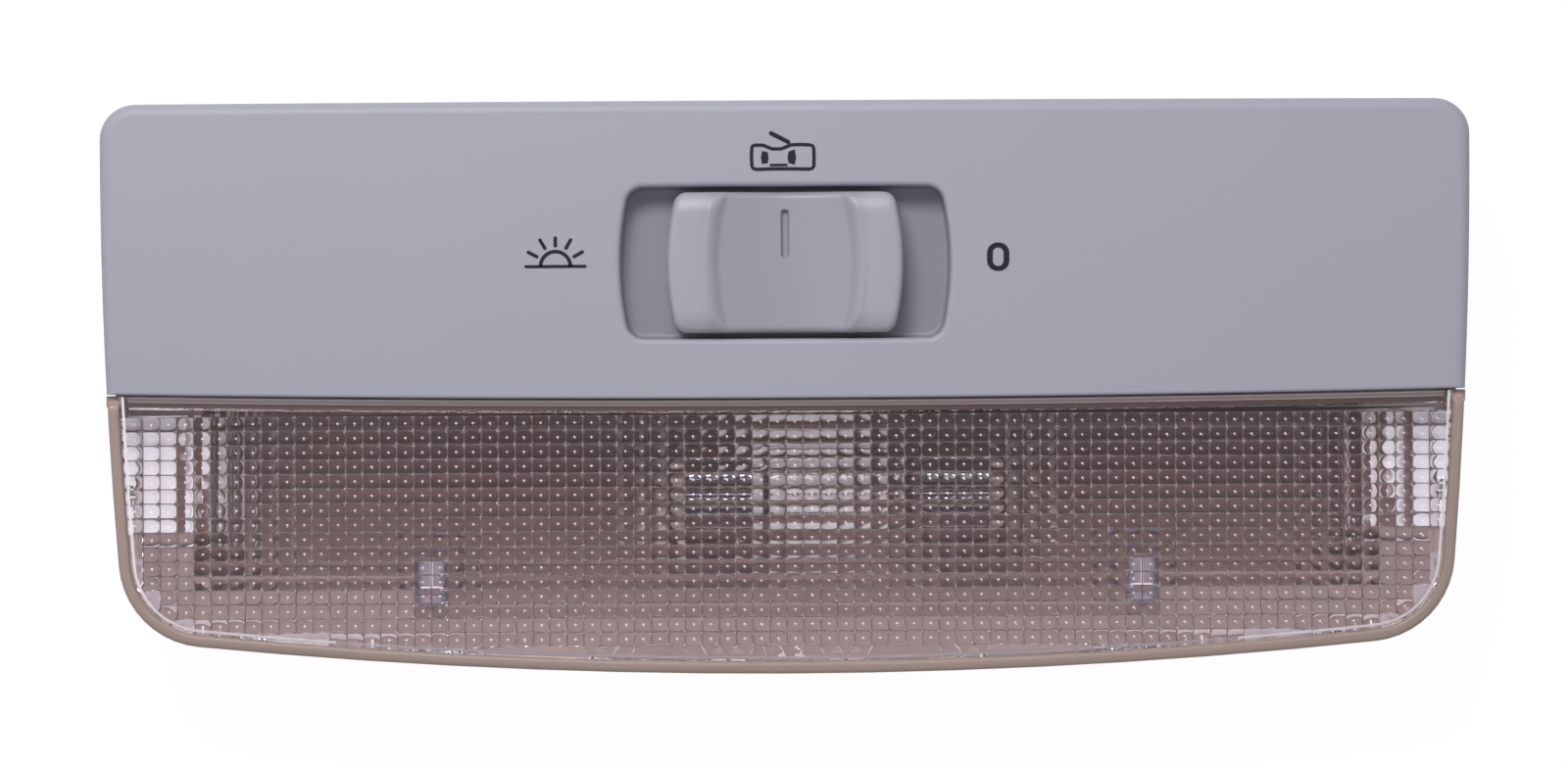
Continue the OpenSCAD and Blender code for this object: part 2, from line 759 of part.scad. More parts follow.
// The bed that carries the lead frame, and the seat of the detent spring in it
module contact_bed() {
    low = tray_floor_z - bury;
    difference() {
        union() {
            box(socket_x + socket_half + tray_wall - bury, bed_right, bed_step_y - bury,
                inner_top + bury, low, bed_z);
            box(bed_left, bed_right, chamber_bottom - bury, bed_step_y, low, bed_z);
        }
        box(-leaf_half - 0.5, leaf_half + 0.5, switch_y - leaf_w / 2 - 0.2,
            switch_y + leaf_w / 2 + 0.2, bed_z - spring_t, bed_z + through);
    }
}

// Rails beside the slider, end stops and the two screw bosses
module slider_rails() {
    for (s = [-1, 1]) {
        y = switch_y + s * (rail_y + rail_t / 2);
        box(-chamber_half, chamber_half, y - rail_t / 2, y + rail_t / 2, bed_z - bury, cover_z);
        translate([s * boss_x, switch_y, tray_floor_z - bury])
            cylinder(h = cover_z - tray_floor_z + bury, r = boss_r);
    }
}

// The connector socket, open towards the tray's upper wall
module socket_block() {
    box(socket_x - socket_half - tray_wall, socket_x + socket_half + tray_wall,
        socket_wall_y, tray_top - bury, tray_floor_z - bury, socket_high_z + socket_roof);
}

module socket_cuts() {
    box(socket_x - socket_half, socket_x + socket_half, socket_back, tray_top + through,
        socket_low_z, socket_high_z);
    // Pocket for the plug's latch
    box(socket_x - latch_w / 2, socket_x + latch_w / 2, tray_top - 2 * latch_len,
        tray_top - latch_len, socket_high_z - through, socket_high_z + latch_depth);
    for (k = [0:2])
        box(blade_x(k) - blade_w / 2 - contact_gap, blade_x(k) + blade_w / 2 + contact_gap,
            socket_wall_y - through, socket_back + through, bed_z, strip_top + contact_gap);
}

// Posts and ribs of the lamp well, which carry the bulb contacts and the reflector
module well_posts() {
    low = tray_floor_z - bury;
    box(supply_x - strip_w / 2, left_foot_x, bulb_y - post_half_w, bulb_y + post_half_w, low, bed_z);
    box(right_foot_x, right_foot_x + foot_len, bulb_y - post_half_w, bulb_y + post_half_w, low, bed_z);
    span = inner_half - ramp_len - 3;
    for (x = [-span, -span / 2, bulb_x, 0.75 * span, span]) well_rib(x);
}

module well_rib(x) {
    box(x - rib_t / 2, x + rib_t / 2, inner_bottom - bury, well_top + bury, tray_floor_z - bury,
        rib_top_z);
}

// Notches that let the strips through the divider and under the rails
module strip_notches() {
    gap = 2 * contact_gap;
    for (x = [supply_x, common_x])
        box(x - strip_w / 2 - gap, x + strip_w / 2 + gap, well_top - through,
            chamber_bottom + through, bed_z, strip_top + gap);
    mid = door_pad_x + pad_w / 2;
    box(mid - strip_w / 2 - gap, mid + strip_w / 2 + gap, switch_y + rail_y - through,
        switch_y + rail_y + rail_t + through, bed_z, strip_top + gap);
}

// Two ribs with lips that hold a retaining clip on an end wall
module clip_guides(side) {
    low = -tray_depth + 1;
    high = -headliner_t - 1.2;
    for (s = [-1, 1]) {
        a = side * (tray_half - bury);
        b = side * (tray_half + clip_t + guide_w / 2);
        y = s * (clip_w / 2 + running + guide_w / 2) + clip_y;
        box(min(a, b), max(a, b), y - guide_w / 2, y + guide_w / 2, low, high);
        lip = side * (tray_half + clip_t + 2 * contact_gap);
        lip_y = y - s * (running + lip_over);
        box(min(lip, b), max(lip, b), lip_y - guide_w / 2, lip_y + guide_w / 2, low, high);
    }
}

clip_y = 0;
guide_w = 1.6;
lip_over = 0.5;

// A spring clip: a base held by the guides, turned back into an arm that bulges outwards
module retaining_clip(side) {
    base = tray_half + clip_t / 2;
    turn_z = -tray_depth + 1;
    half = clip_w / 2;
    arm_half = half - 1.5;
    function placed(path) = [for (p = path) [side * p[0], p[1]]];
    color([0.55, 0.56, 0.58])
    difference() {
        union() {
            bent_sheet(placed([[base, -headliner_t - 0.8], [base, turn_z + 0.5]]), clip_t,
                clip_y - half, clip_y + half);
            bent_sheet(placed([[base, turn_z + 1], [base, turn_z], [base + 0.5, turn_z - 0.7],
                [base + 1.3, turn_z - 0.5], [base + clip_bulge, turn_z + 4.2],
                [base + clip_bulge, turn_z + 5], [base + clip_bulge / 2, -headliner_t - 1]]),
                clip_t, clip_y - arm_half, clip_y + arm_half);
        }
        translate([side * base, clip_y, -7]) rotate([0, 90, 0])
            cylinder(h = 2, r = 1.5, center = true);
    }
}

module retaining_clip_left() { retaining_clip(-1); }
module retaining_clip_right() { retaining_clip(1); }

// One bent sheet: a tab at each end, two curved ramps and a floor under the bulb
reflector_inset = rim_inset + rim_t + running;
function ramp(x0, z0, x1, z1) =
    [for (k = [0:8]) let (t = k / 8)
        [x0 + (x1 - x0) * t, z0 + (z1 - z0) * (1 - cos(180 * t)) / 2]];
module reflector() {
    top_x = inner_half - 0.2;
    bottom_x = top_x - ramp_len;
    half_path = concat([[lamp_len / 2, reflector_tab_z]],
        ramp(top_x, reflector_tab_z, bottom_x, reflector_floor_z));
    path = concat(half_path, [for (k = [len(half_path) - 1:-1:0])
        [-half_path[k][0], half_path[k][1]]]);
    low_y = inner_bottom + 0.3;
    high_y = well_top - 0.3;
    hole = 0.4;
    color([0.86, 0.85, 0.86])
    difference() {
        union() {
            intersection() {
                bent_sheet(path, reflector_t, tab_low_y, tab_high_y);
                slab(outline(lamp, reflector_inset), rib_top_z - through, panel_face_z);
            }
            box(-bottom_x, bottom_x, low_y, high_y, rib_top_z, rib_top_z + reflector_t);
        }
        for (s = [-1, 1]) {
            x = s < 0 ? supply_x - strip_w / 2 : right_foot_x;
            end = s < 0 ? left_foot_x : right_foot_x + foot_len;
            box(x - hole, end + hole, bulb_y - post_half_w - hole, bulb_y + post_half_w + hole,
                rib_top_z - through, rib_top_z + through);
            lug = s * lug_x;
            box(lug - lug_w, lug + lug_w, low_y - through, low_y + 4.2, rib_top_z - through,
                rib_top_z + through);
        }
    }
}

// Turns a profile of [distance along the bulb, radius] about the bulb's axis
module bulb_turn(profile) {
    translate([bulb_x, bulb_y, bulb_z]) rotate([0, 90, 0])
        rotate_extrude() polygon([for (p = profile) [p[1], p[0]]]);
}

module bulb_glass() {
    wall = 0.5;
    shoulder = 2.6;
    neck = glass_half + neck_in;
    function bulge(r, k) = neck_r + (r - neck_r) * sin(90 * k / 4);
    function bulge_z(k) = glass_half - shoulder * (1 - cos(90 * k / 4));
    outer = concat([[neck, neck_r]], [for (k = [0:4]) [bulge_z(k), bulge(glass_r, k)]]);
    color([0.9, 0.92, 0.93, 0.4])
    bulb_turn(concat(outer, [for (k = [5:-1:0]) [-outer[k][0], outer[k][1]]],
        [for (k = [0:5]) [-outer[k][0], outer[k][1] - wall]],
        [for (k = [5:-1:0]) [outer[k][0], outer[k][1] - wall]]));
}

// A cap with its pointed end, on one side of the bulb
module bulb_cap(side) {
    open = side * glass_half;
    base = side * (glass_half + cap_len);
    color([0.7, 0.69, 0.68])
    bulb_turn([[open, cap_r - cap_wall], [open, cap_r], [base, cap_r], [base, shoulder_r],
        [base + side * tip_len, tip_r], [base + side * tip_len, 0],
        [base - side * 1.2, 0], [base - side * 1.2, cap_r - cap_wall]]);
}

module bulb_cap_left() { bulb_cap(-1); }
module bulb_cap_right() { bulb_cap(1); }

module bulb_filament() {
    end = glass_half + cap_len - 1.2;
    wire = 0.2;
    coil = 0.55;
    half = 6;
    turns = 12;
    color([0.5, 0.48, 0.46])
    bulb_turn(concat([[-end, 0], [-end, wire], [-half, wire]],
        [for (k = [0:turns - 1]) let (x = -half + 2 * half * k / turns, d = 2 * half / turns)
            each [[x + 0.1 * d, wire], [x + 0.3 * d, coil], [x + 0.7 * d, coil], [x + 0.9 * d, wire]]],
        [[half, wire], [end, wire], [end, 0]]));
}

leaf_w = 3;
leaf_end_gap = 2;
leaf_half = chamber_half - leaf_end_gap;
leaf_foot = 2.5;
notch_z = slider_z - 0.2;

// A leaf whose nose stands in the middle notch of the slider
module detent_spring() {
    nose_r = notch_r - 0.15;
    mid_r = nose_r - spring_t / 2;
    low = bed_z - spring_t / 2;
    foot = leaf_half - leaf_foot;
    knee = [2 * notch_r, notch_z - 0.7 * notch_r];
    nose = [for (k = [0:6]) [-mid_r * cos(30 * k), notch_z + mid_r * sin(30 * k)]];
    color([0.6, 0.61, 0.63])
    bent_sheet(concat([[-leaf_half, low], [-foot, low], [-knee[0], knee[1]]], nose,
        [knee, [foot, low], [leaf_half, low]]), spring_t,
        switch_y - leaf_w / 2, switch_y + leaf_w / 2);
}

module switch_slider() {
    half = slider_len / 2;
    color([0.9, 0.89, 0.86])
    translate([0, switch_y, 0]) difference() {
        union() {
            slab(round_rect(-half, half, -slider_w / 2, slider_w / 2, 1), slider_z, slider_top_z);
            slab(round_rect(-neck_len / 2, neck_len / 2, -neck_w / 2, neck_w / 2, 0.6),
                slider_top_z - bury, cover_top_z);
        }
        box(-stem_len / 2, stem_len / 2, -stem_w / 2, stem_w / 2, stem_z, cover_top_z + through);
        for (k = [-1:1]) translate([k * travel, 0, notch_z]) rotate([90, 0, 0])
            cylinder(h = slider_w + 2 * through, r = notch_r, center = true);
    }
}

// A bridge under the slider with a sprung arm to each track
module wiper_contact() {
    bridge_w = 1.6;
    back = -slider_len / 2 + running;
    top = slider_z - spring_t / 2;
    low = strip_top + contact_gap + spring_t / 2;
    arm_w = strip_w - 2 * contact_gap;
    nose = 0.4;
    dip = 0.5;
    color([0.78, 0.62, 0.36])
    translate([0, switch_y, 0]) union() {
        box(back, back + bridge_w, -track_offset - arm_w / 2, track_offset + arm_w / 2,
            slider_z - spring_t, slider_z);
        for (s = [-1, 1])
            bent_sheet([[back + bridge_w / 2, top], [back + bridge_w, top],
                [-nose - dip, low + dip], [-nose, low], [nose, low], [nose + dip, low + dip],
                [nose + 3 * dip, low + 2.6 * dip]], spring_t,
                s * track_offset - arm_w / 2, s * track_offset + arm_w / 2);
    }
}

// Points of a line that dips or rises between two places, by d at the middle
function swell(x0, x1, z, d, steps) =
    [for (k = [0:steps]) [x0 + (x1 - x0) * k / steps, z + d * sin(180 * k / steps)]];

module switch_knob() {
    half = knob_len / 2;
    ridge_z = recess_floor_z + ridge_rise;
    dish = half - ridge_w;
    shoulder = 0.9;
    color([0.63, 0.63, 0.69])
    translate([0, switch_y, 0]) difference() {
        union() {
            intersection() {
                slab(outline(knob), knob_z, ridge_z + through);
                rotate([90, 0, 0]) linear_extrude(2 * knob_h, center = true)
                    polygon(concat([[-half - 1, knob_z - 1], [-half - 1, ridge_z - shoulder]],
                        [for (k = [1:4]) [-half + shoulder * (1 - cos(22.5 * k)),
                            ridge_z - shoulder + shoulder * sin(22.5 * k)]],
                        [[-dish - 1.2, ridge_z]], swell(-dish, dish, ridge_z - 0.9, 0.9 - dish_depth, 12),
                        [[dish + 1.2, ridge_z]],
                        [for (k = [4:-1:1]) [half - shoulder * (1 - cos(22.5 * k)),
                            ridge_z - shoulder + shoulder * sin(22.5 * k)]],
                        [[half + 1, ridge_z - shoulder], [half + 1, knob_z - 1]]));
                rotate([90, 0, 90]) linear_extrude(2 * knob_len, center = true)
                    polygon(concat([[-knob_h / 2 - 1, knob_z - 1],
                        [-knob_h / 2 - 1, ridge_z - 2.2]],
                        [for (k = [0:10]) let (y = -knob_h / 2 + knob_h * k / 10)
                            [y, ridge_z + 0.05 - 0.9 * pow(abs(y) / (knob_h / 2), 6)]],
                        [[knob_h / 2 + 1, ridge_z - 2.2], [knob_h / 2 + 1, knob_z - 1]]));
            }
            box(-stem_len / 2, stem_len / 2, -stem_w / 2, stem_w / 2, stem_z, knob_z + bury);
        }
        groove_z = ridge_z - dish_depth - groove_depth;
        slab(round_rect(-groove_w / 2, groove_w / 2, 0.4, 0.4 + groove_len, groove_w / 2 - 0.05),
            groove_z, ridge_z + through);
    }
}

// The outer form of a countersunk screw, wider by gap, with its top flush with the cover
module countersunk(gap, depth) {
    translate([0, 0, cover_top_z - screw_head_h])
        cylinder(h = screw_head_h + gap, r1 = screw_r + gap, r2 = screw_head_r + gap);
    translate([0, 0, cover_z - depth]) cylinder(h = depth + cover_t - screw_head_h / 2, r = screw_r + gap);
}

module switch_cover() {
    half = boss_x + boss_r + stop_gap;
    edge = rail_y + rail_t + contact_gap;
    slot_half = neck_len / 2 + travel + running;
    color([0.85, 0.84, 0.8])
    translate([0, switch_y, 0]) difference() {
        slab(round_rect(-half, half, -edge, edge, boss_r / 2), cover_z, cover_top_z);
        box(-slot_half, slot_half, -neck_w / 2 - running, neck_w / 2 + running,
            cover_z - through, cover_top_z + through);
        for (s = [-1, 1]) translate([s * boss_x, 0, 0]) countersunk(2 * contact_gap, through);
    }
}

module cover_screws() {
    slot_w = screw_r / 2;
    color([0.5, 0.5, 0.52])
    for (s = [-1, 1]) translate([s * boss_x, switch_y, 0]) difference() {
        countersunk(0, screw_len);
        for (a = [0, 90]) rotate([0, 0, a])
            box(-screw_r, screw_r, -slot_w / 2, slot_w / 2, cover_top_z - screw_head_h / 2,
                cover_top_z + through);
    }
}

back_housing();
front_panel();
lens();
reflector();
bulb_glass();
bulb_cap_left();
bulb_cap_right();
bulb_filament();
supply_strip();
common_strip();
ground_strip();
door_strip();
detent_spring();
switch_slider();
wiper_contact();
switch_knob();
switch_cover();
cover_screws();
retaining_clip_left();
retaining_clip_right();
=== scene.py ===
import math

import bmesh
import bpy
from mathutils import Matrix, Vector


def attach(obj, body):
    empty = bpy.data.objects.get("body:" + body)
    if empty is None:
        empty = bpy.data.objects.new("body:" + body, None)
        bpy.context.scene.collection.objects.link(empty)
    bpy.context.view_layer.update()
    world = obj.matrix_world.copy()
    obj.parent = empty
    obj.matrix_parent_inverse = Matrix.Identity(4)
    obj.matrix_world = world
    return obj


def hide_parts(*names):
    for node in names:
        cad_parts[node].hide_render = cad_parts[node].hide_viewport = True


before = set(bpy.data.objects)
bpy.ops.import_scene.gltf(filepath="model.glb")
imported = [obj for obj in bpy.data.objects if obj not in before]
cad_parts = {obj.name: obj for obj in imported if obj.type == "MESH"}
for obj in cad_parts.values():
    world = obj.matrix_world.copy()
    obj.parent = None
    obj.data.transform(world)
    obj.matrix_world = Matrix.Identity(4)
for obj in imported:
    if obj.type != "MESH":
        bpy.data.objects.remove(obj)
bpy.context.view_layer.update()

MM = 0.001

# Levels and sizes of the lamp, in millimetres, mostly as in the part's source. The rim and the
# lens stand RIM_SHIFT further out here, and the lens's wall and the joint are thinner.
FLANGE_Z = 1.8
PANEL_Z = 9.0
PANEL_INNER_Z = 7.0
PANEL_ROUND = 1.3
PANEL_WALL = 2.0
SWITCH_Y = 14.1
RECESS_Z = 5.2
RECESS_ROUND = 0.6
RECESS_FOOT = 0.5
TUB_Z = 3.6
TUB_WALL = 1.6
RIM_SHIFT = 0.42
RIM_INSET = 0.35 - RIM_SHIFT
RIM_Z = 7.8
RIM_BEVEL = 0.35
RIM_TURN_H = 0.6
INSIDE_Z = 6.0
LENS_INSET = 1.8 - RIM_SHIFT
LENS_WALL = 0.45
LENS_Z = 8.6
LENS_INNER_Z = 6.6
LENS_BASE_Z = 2.3
LIP_Z = 8.4
LIP_H = 1.3
LIP_END_Y = -2.3
CELL_W = 1.92
CELL_H = 1.64
CELL_TOP = -3.1
CELL_ROWS = 16
CELL_BULGE = 0.7
CELL_LINES = (0.0, 0.04, 0.2, 0.44, 0.56, 0.8, 0.96)
LUG_X, LUG_Y = 40.3, -22.0
LUG_FOOT_Z = 2.4
JOINT_Y = -1.35
JOINT_BOW = 3800.0
JOINT_HALF_GAP = 0.06
JOINT_ROUND = 0.35
JOINT_FOOT_Z = FLANGE_Z + 2.1
TAB_XS = (-48, 0, 48)
KNOB_LOW_Z = 5.5
RIDGE_Z = 10.6
KNOB_HALF_H = 8.0
REST_Z = -13.0

# Distances in metres within which vertices are joined: new pieces, CAD copies, faulty edges
WELD = 0.000002
CAD_WELD = 0.000004
NO_LENGTH = 0.000001


# Plan outlines


def arc(centre, radius, start, end, steps):
    """The points of an arc after its first one. Angles are in degrees."""
    points = []
    for k in range(1, steps + 1):
        angle = math.radians(start + (end - start) * k / steps)
        points.append((centre[0] + radius * math.cos(angle), centre[1] + radius * math.sin(angle)))
    return points


def heading(start, end):
    return math.degrees(math.atan2(end[1] - start[1], end[0] - start[0]))


def mirrored(points):
    return [(-x, y) for x, y in reversed(points)]


class Outline:
    """A closed form of four bowed sides and four round corners, alike on the left and the right."""

    def __init__(self, half, widest, side_bow, top, top_bow, bottom, bottom_bow, upper, lower):
        self.side_r, self.top_r, self.bottom_r = side_bow, top_bow, bottom_bow
        self.upper_r, self.lower_r = upper, lower
        self.side = (half - side_bow, widest)
        self.top = (0.0, top - top_bow)
        self.bottom = (0.0, bottom + bottom_bow)
        self.upper = self.corner(self.top, top_bow, upper)
        self.lower = self.corner(self.bottom, bottom_bow, lower)
        self.top_turn = heading(self.top, self.upper)
        self.upper_turn = heading(self.side, self.upper)
        self.lower_turn = heading(self.side, self.lower)
        self.bottom_turn = heading(self.bottom, self.lower)

    def corner(self, other, other_r, r):
        """Centre of the corner circle that touches the side's and the other circle from inside."""
        p, q = self.side_r - r, other_r - r
        dx, dy = other[0] - self.side[0], other[1] - self.side[1]
        d = math.hypot(dx, dy)
        ux, uy = dx / d, dy / d
        along = (p * p - q * q + d * d) / (2 * d)
        across = math.sqrt(p * p - along * along)
        choices = [
            (self.side[0] + along * ux + s * across * uy, self.side[1] + along * uy - s * across * ux)
            for s in (1, -1)
        ]
        return max(choices)

    def end_x(self, y, inset=0.0):
        r = self.side_r - inset
        return self.side[0] + math.sqrt(r * r - (y - self.side[1]) ** 2)

    def depth(self, x, y):
        """How far inside the outline a point lies."""
        x = abs(x)
        depth = min(
            self.side_r - math.hypot(x - self.side[0], y - self.side[1]),
            self.top_r - math.hypot(x - self.top[0], y - self.top[1]),
            self.bottom_r - math.hypot(x - self.bottom[0], y - self.bottom[1]),
        )
        if x > self.upper[0] and y > self.upper[1]:
            depth = min(depth, self.upper_r - math.hypot(x - self.upper[0], y - self.upper[1]))
        if x > self.lower[0] and y < self.lower[1]:
            depth = min(depth, self.lower_r - math.hypot(x - self.lower[0], y - self.lower[1]))
        return depth

    def upper_part(self, inset, start, side=14, corner=12, top=26):
        return (
            arc(self.side, self.side_r - inset, start, self.upper_turn, side)
            + arc(self.upper, self.upper_r - inset, self.upper_turn, self.top_turn, corner)
            + arc(self.top, self.top_r - inset, self.top_turn, 90, top)
        )

    def lower_part(self, inset, start, side=14, corner=16, bottom=30):
        return (
            arc(self.side, self.side_r - inset, start, self.lower_turn, side)
            + arc(self.lower, self.lower_r - inset, self.lower_turn, self.bottom_turn, corner)
            + arc(self.bottom, self.bottom_r - inset, self.bottom_turn, -90, bottom)
        )

    def closed(self, inset=0.0, side=10, corner=8, long=20):
        up = self.upper_part(inset, 0, side, corner, long)
        down = self.lower_part(inset, 0, side, corner, long)
        right = (self.end_x(self.side[1], inset), self.side[1])
        left = [(-x, y) for x, y in [right] + down]
        return [right] + up + mirrored(up[:-1]) + left + down[-2::-1]


def bowed(length, height, bow, corner):
    """An outline with bowed ends and nearly straight long sides."""
    side = (height * height / 4 + bow * bow) / (2 * bow)
    top, straight = height / 2, 100 * height
    return Outline(length / 2, 0.0, side, top, straight, -top, straight, corner, corner)


LAMP = Outline(
    half=77.6,
    widest=27.0,
    side_bow=580.0,
    top=32.5,
    top_bow=20000.0,
    bottom=-32.5,
    bottom_bow=665.0,
    upper=4.0,
    lower=10.0,
)
RECESS = bowed(length=37.4, height=17.3, bow=1.1, corner=2.0)
KNOB = bowed(length=26.7, height=16.0, bow=1.1, corner=1.5)


def joint(x):
    """Y of the line where the panel meets the lens."""
    return JOINT_Y + JOINT_BOW - math.sqrt(JOINT_BOW * JOINT_BOW - x * x)


# The points of a cut: close together near its ends, then even steps between
END_STEPS = (0.12, 0.3, 0.55, 0.9, 1.4, 2.4)
END_RUN = 3.4
MIDDLE_STEPS = 60


def cut_loop(inset, shift, side_of_lens):
    """The lamp's outline, drawn in by inset, closed along a line at shift from the joint line."""
    sign = -1 if side_of_lens else 1
    x, y = LAMP.end_x(JOINT_Y, inset), JOINT_Y
    # Each turn brings (x, y) closer to where the line meets the side
    for _ in range(8):
        y = joint(x) + sign * shift
        x = LAMP.end_x(y, inset)
    start = heading(LAMP.side, (x, y))
    part = LAMP.lower_part if side_of_lens else LAMP.upper_part
    right = [(x, y)] + part(inset, start)
    xs = [-x + s for s in END_STEPS]
    run = 2 * x - 2 * END_RUN
    xs += [(-x + END_RUN) + run * k / MIDDLE_STEPS for k in range(MIDDLE_STEPS + 1)]
    xs += [x - s for s in reversed(END_STEPS)]
    return right + mirrored(right[:-1]) + [(v, joint(v) + sign * shift) for v in xs]


def drop(distance, radius):
    """How much a rounded edge has fallen at a distance in from it."""
    if distance >= radius:
        return 0.0
    return radius - math.sqrt(max(0.0, radius * radius - (radius - distance) ** 2))


def smooth_step(low, high, value):
    t = min(1.0, max(0.0, (value - low) / (high - low)))
    return t * t * (3 - 2 * t)


def quarter(steps):
    """How far across and down each point of a quarter round lies, as shares of its radius."""
    turns = [math.radians(90 * k / steps) for k in range(steps + 1)]
    return [(1 - math.sin(t), 1 - math.cos(t)) for t in turns]


# Mesh building


def new_mesh():
    bm = bmesh.new()
    bm.verts.layers.int.new("place")
    return bm


def ring(bm, points):
    """A closed ring of edges through points given in millimetres."""
    place = bm.verts.layers.int["place"]
    verts = []
    for k, p in enumerate(points):
        v = bm.verts.new(Vector(p) * MM)
        v[place] = k
        verts.append(v)
    return [bm.edges.new((verts[k - 1], verts[k])) for k in range(len(verts))]


def grow(bm, edges, points):
    """Extrudes a ring of edges and moves the new ring onto the points."""
    place = bm.verts.layers.int["place"]
    new = bmesh.ops.extrude_edge_only(bm, edges=edges)["geom"]
    moved = {v for v in new if isinstance(v, bmesh.types.BMVert)}
    for v in moved:
        v.co = Vector(points[v[place]]) * MM
    return [e for e in new if isinstance(e, bmesh.types.BMEdge) and set(e.verts) <= moved]


def climb(bm, edges, rings):
    """Grows a wall through several rings of points."""
    for points in rings:
        edges = grow(bm, edges, points)
    return edges


def fill(bm, edges, up=1.0):
    """Fills the flat region that rings of edges enclose."""
    normal = (0, 0, up)
    bmesh.ops.triangle_fill(bm, use_beauty=True, use_dissolve=False, edges=edges, normal=normal)


def round_edges(bm, edges, radius):
    bmesh.ops.bevel(
        bm, geom=edges, offset=radius * MM, affect="EDGES", segments=3, profile=0.5, material=-1
    )


def block(bm, x0, x1, y0, y1, z0, z1, bevel=0.0):
    """A box, with its edges rounded where bevel is given."""
    size = Vector(((x1 - x0), (y1 - y0), (z1 - z0))) * MM
    middle = Vector(((x0 + x1) / 2, (y0 + y1) / 2, (z0 + z1) / 2)) * MM
    matrix = Matrix.Translation(middle) @ Matrix.Diagonal((*size, 1.0))
    made = bmesh.ops.create_cube(bm, size=1.0, matrix=matrix)
    if bevel:
        round_edges(bm, list({e for v in made["verts"] for e in v.link_edges}), bevel)


def finish_mesh(bm, name, material, body, stands_for=(), sharp=38.0, weld=True, others=()):
    """Turns a bmesh into a piece that rides on a body."""
    if weld:
        bmesh.ops.remove_doubles(bm, verts=bm.verts, dist=WELD)
    bmesh.ops.recalc_face_normals(bm, faces=bm.faces)
    limit = math.radians(sharp)
    for face in bm.faces:
        face.smooth = True
    for edge in bm.edges:
        if len(edge.link_faces) != 2 or edge.calc_face_angle(0.0) > limit:
            edge.smooth = False
    mesh = bpy.data.meshes.new(name)
    bm.to_mesh(mesh)
    bm.free()
    piece = bpy.data.objects.new(name, mesh)
    bpy.context.scene.collection.objects.link(piece)
    mesh.materials.append(material)
    for other in others:
        mesh.materials.append(other)
    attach(piece, body)
    if stands_for:
        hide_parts(*stands_for)
    return piece


def round_rim(bm):
    """Joins the housing's flat faces and rounds the edges of its rim's top."""
    bmesh.ops.dissolve_limit(bm, angle_limit=math.radians(0.3), verts=bm.verts, edges=bm.edges)
    sharp, slack = 0.8, 0.00001
    rim = [
        e
        for e in bm.edges
        if e.calc_face_angle(0.0) > sharp and all(abs(v.co.z - RIM_Z * MM) < slack for v in e.verts)
    ]
    round_edges(bm, rim, RIM_BEVEL)


def looks_inside(face):
    """True for the housing's faces that look up under the panel and the lens."""
    centre = face.calc_center_median() / MM
    deep = LAMP.depth(centre.x, centre.y) > LENS_INSET
    return face.normal.z > 0.5 and centre.z < INSIDE_Z and deep


def spread_rim(bm):
    """Moves the rim's top outward, so that it is flush with the panel's sides."""
    near, inner_shift = 0.01, RIM_SHIFT - 0.06
    for v in bm.verts:
        x, y, z = v.co / MM
        depth = LAMP.depth(x, y)
        if z > RIM_Z - RIM_TURN_H and y < joint(x) and 0 < depth < LENS_INSET + RIM_SHIFT:
            out = Vector((depth - LAMP.depth(x + near, y), depth - LAMP.depth(x, y + near), 0))
            shift = RIM_SHIFT if depth < 1 else inner_shift
            v.co += out.normalized() * shift * MM


def refined(node, material, body, inside=None):
    """A welded copy of a CAD node with its curved faces shaded smooth.

    The housing alone has a rounded rim and a darker colour on its inner faces, painted shade.
    """
    bm = bmesh.new()
    bm.from_mesh(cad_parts[node].data)
    bmesh.ops.remove_doubles(bm, verts=bm.verts, dist=CAD_WELD)
    bmesh.ops.dissolve_degenerate(bm, edges=bm.edges, dist=NO_LENGTH)
    if inside:
        round_rim(bm)
    for face in bm.faces:
        face.material_index = int(bool(inside) and looks_inside(face))
    if inside:
        spread_rim(bm)
    others = (inside,) if inside else ()
    return finish_mesh(
        bm, node + "_finished", material, body, (node,), sharp=32.0, weld=False, others=others
    )


# Colours and finishes


def colour(r, g, b):
    """A screen colour of 0 to 255 as the shader's linear colour."""
    parts = []
    for v in (r, g, b):
        v /= 255
        parts.append(v / 12.92 if v <= 0.04045 else ((v + 0.055) / 1.055) ** 2.4)
    return (*parts, 1.0)


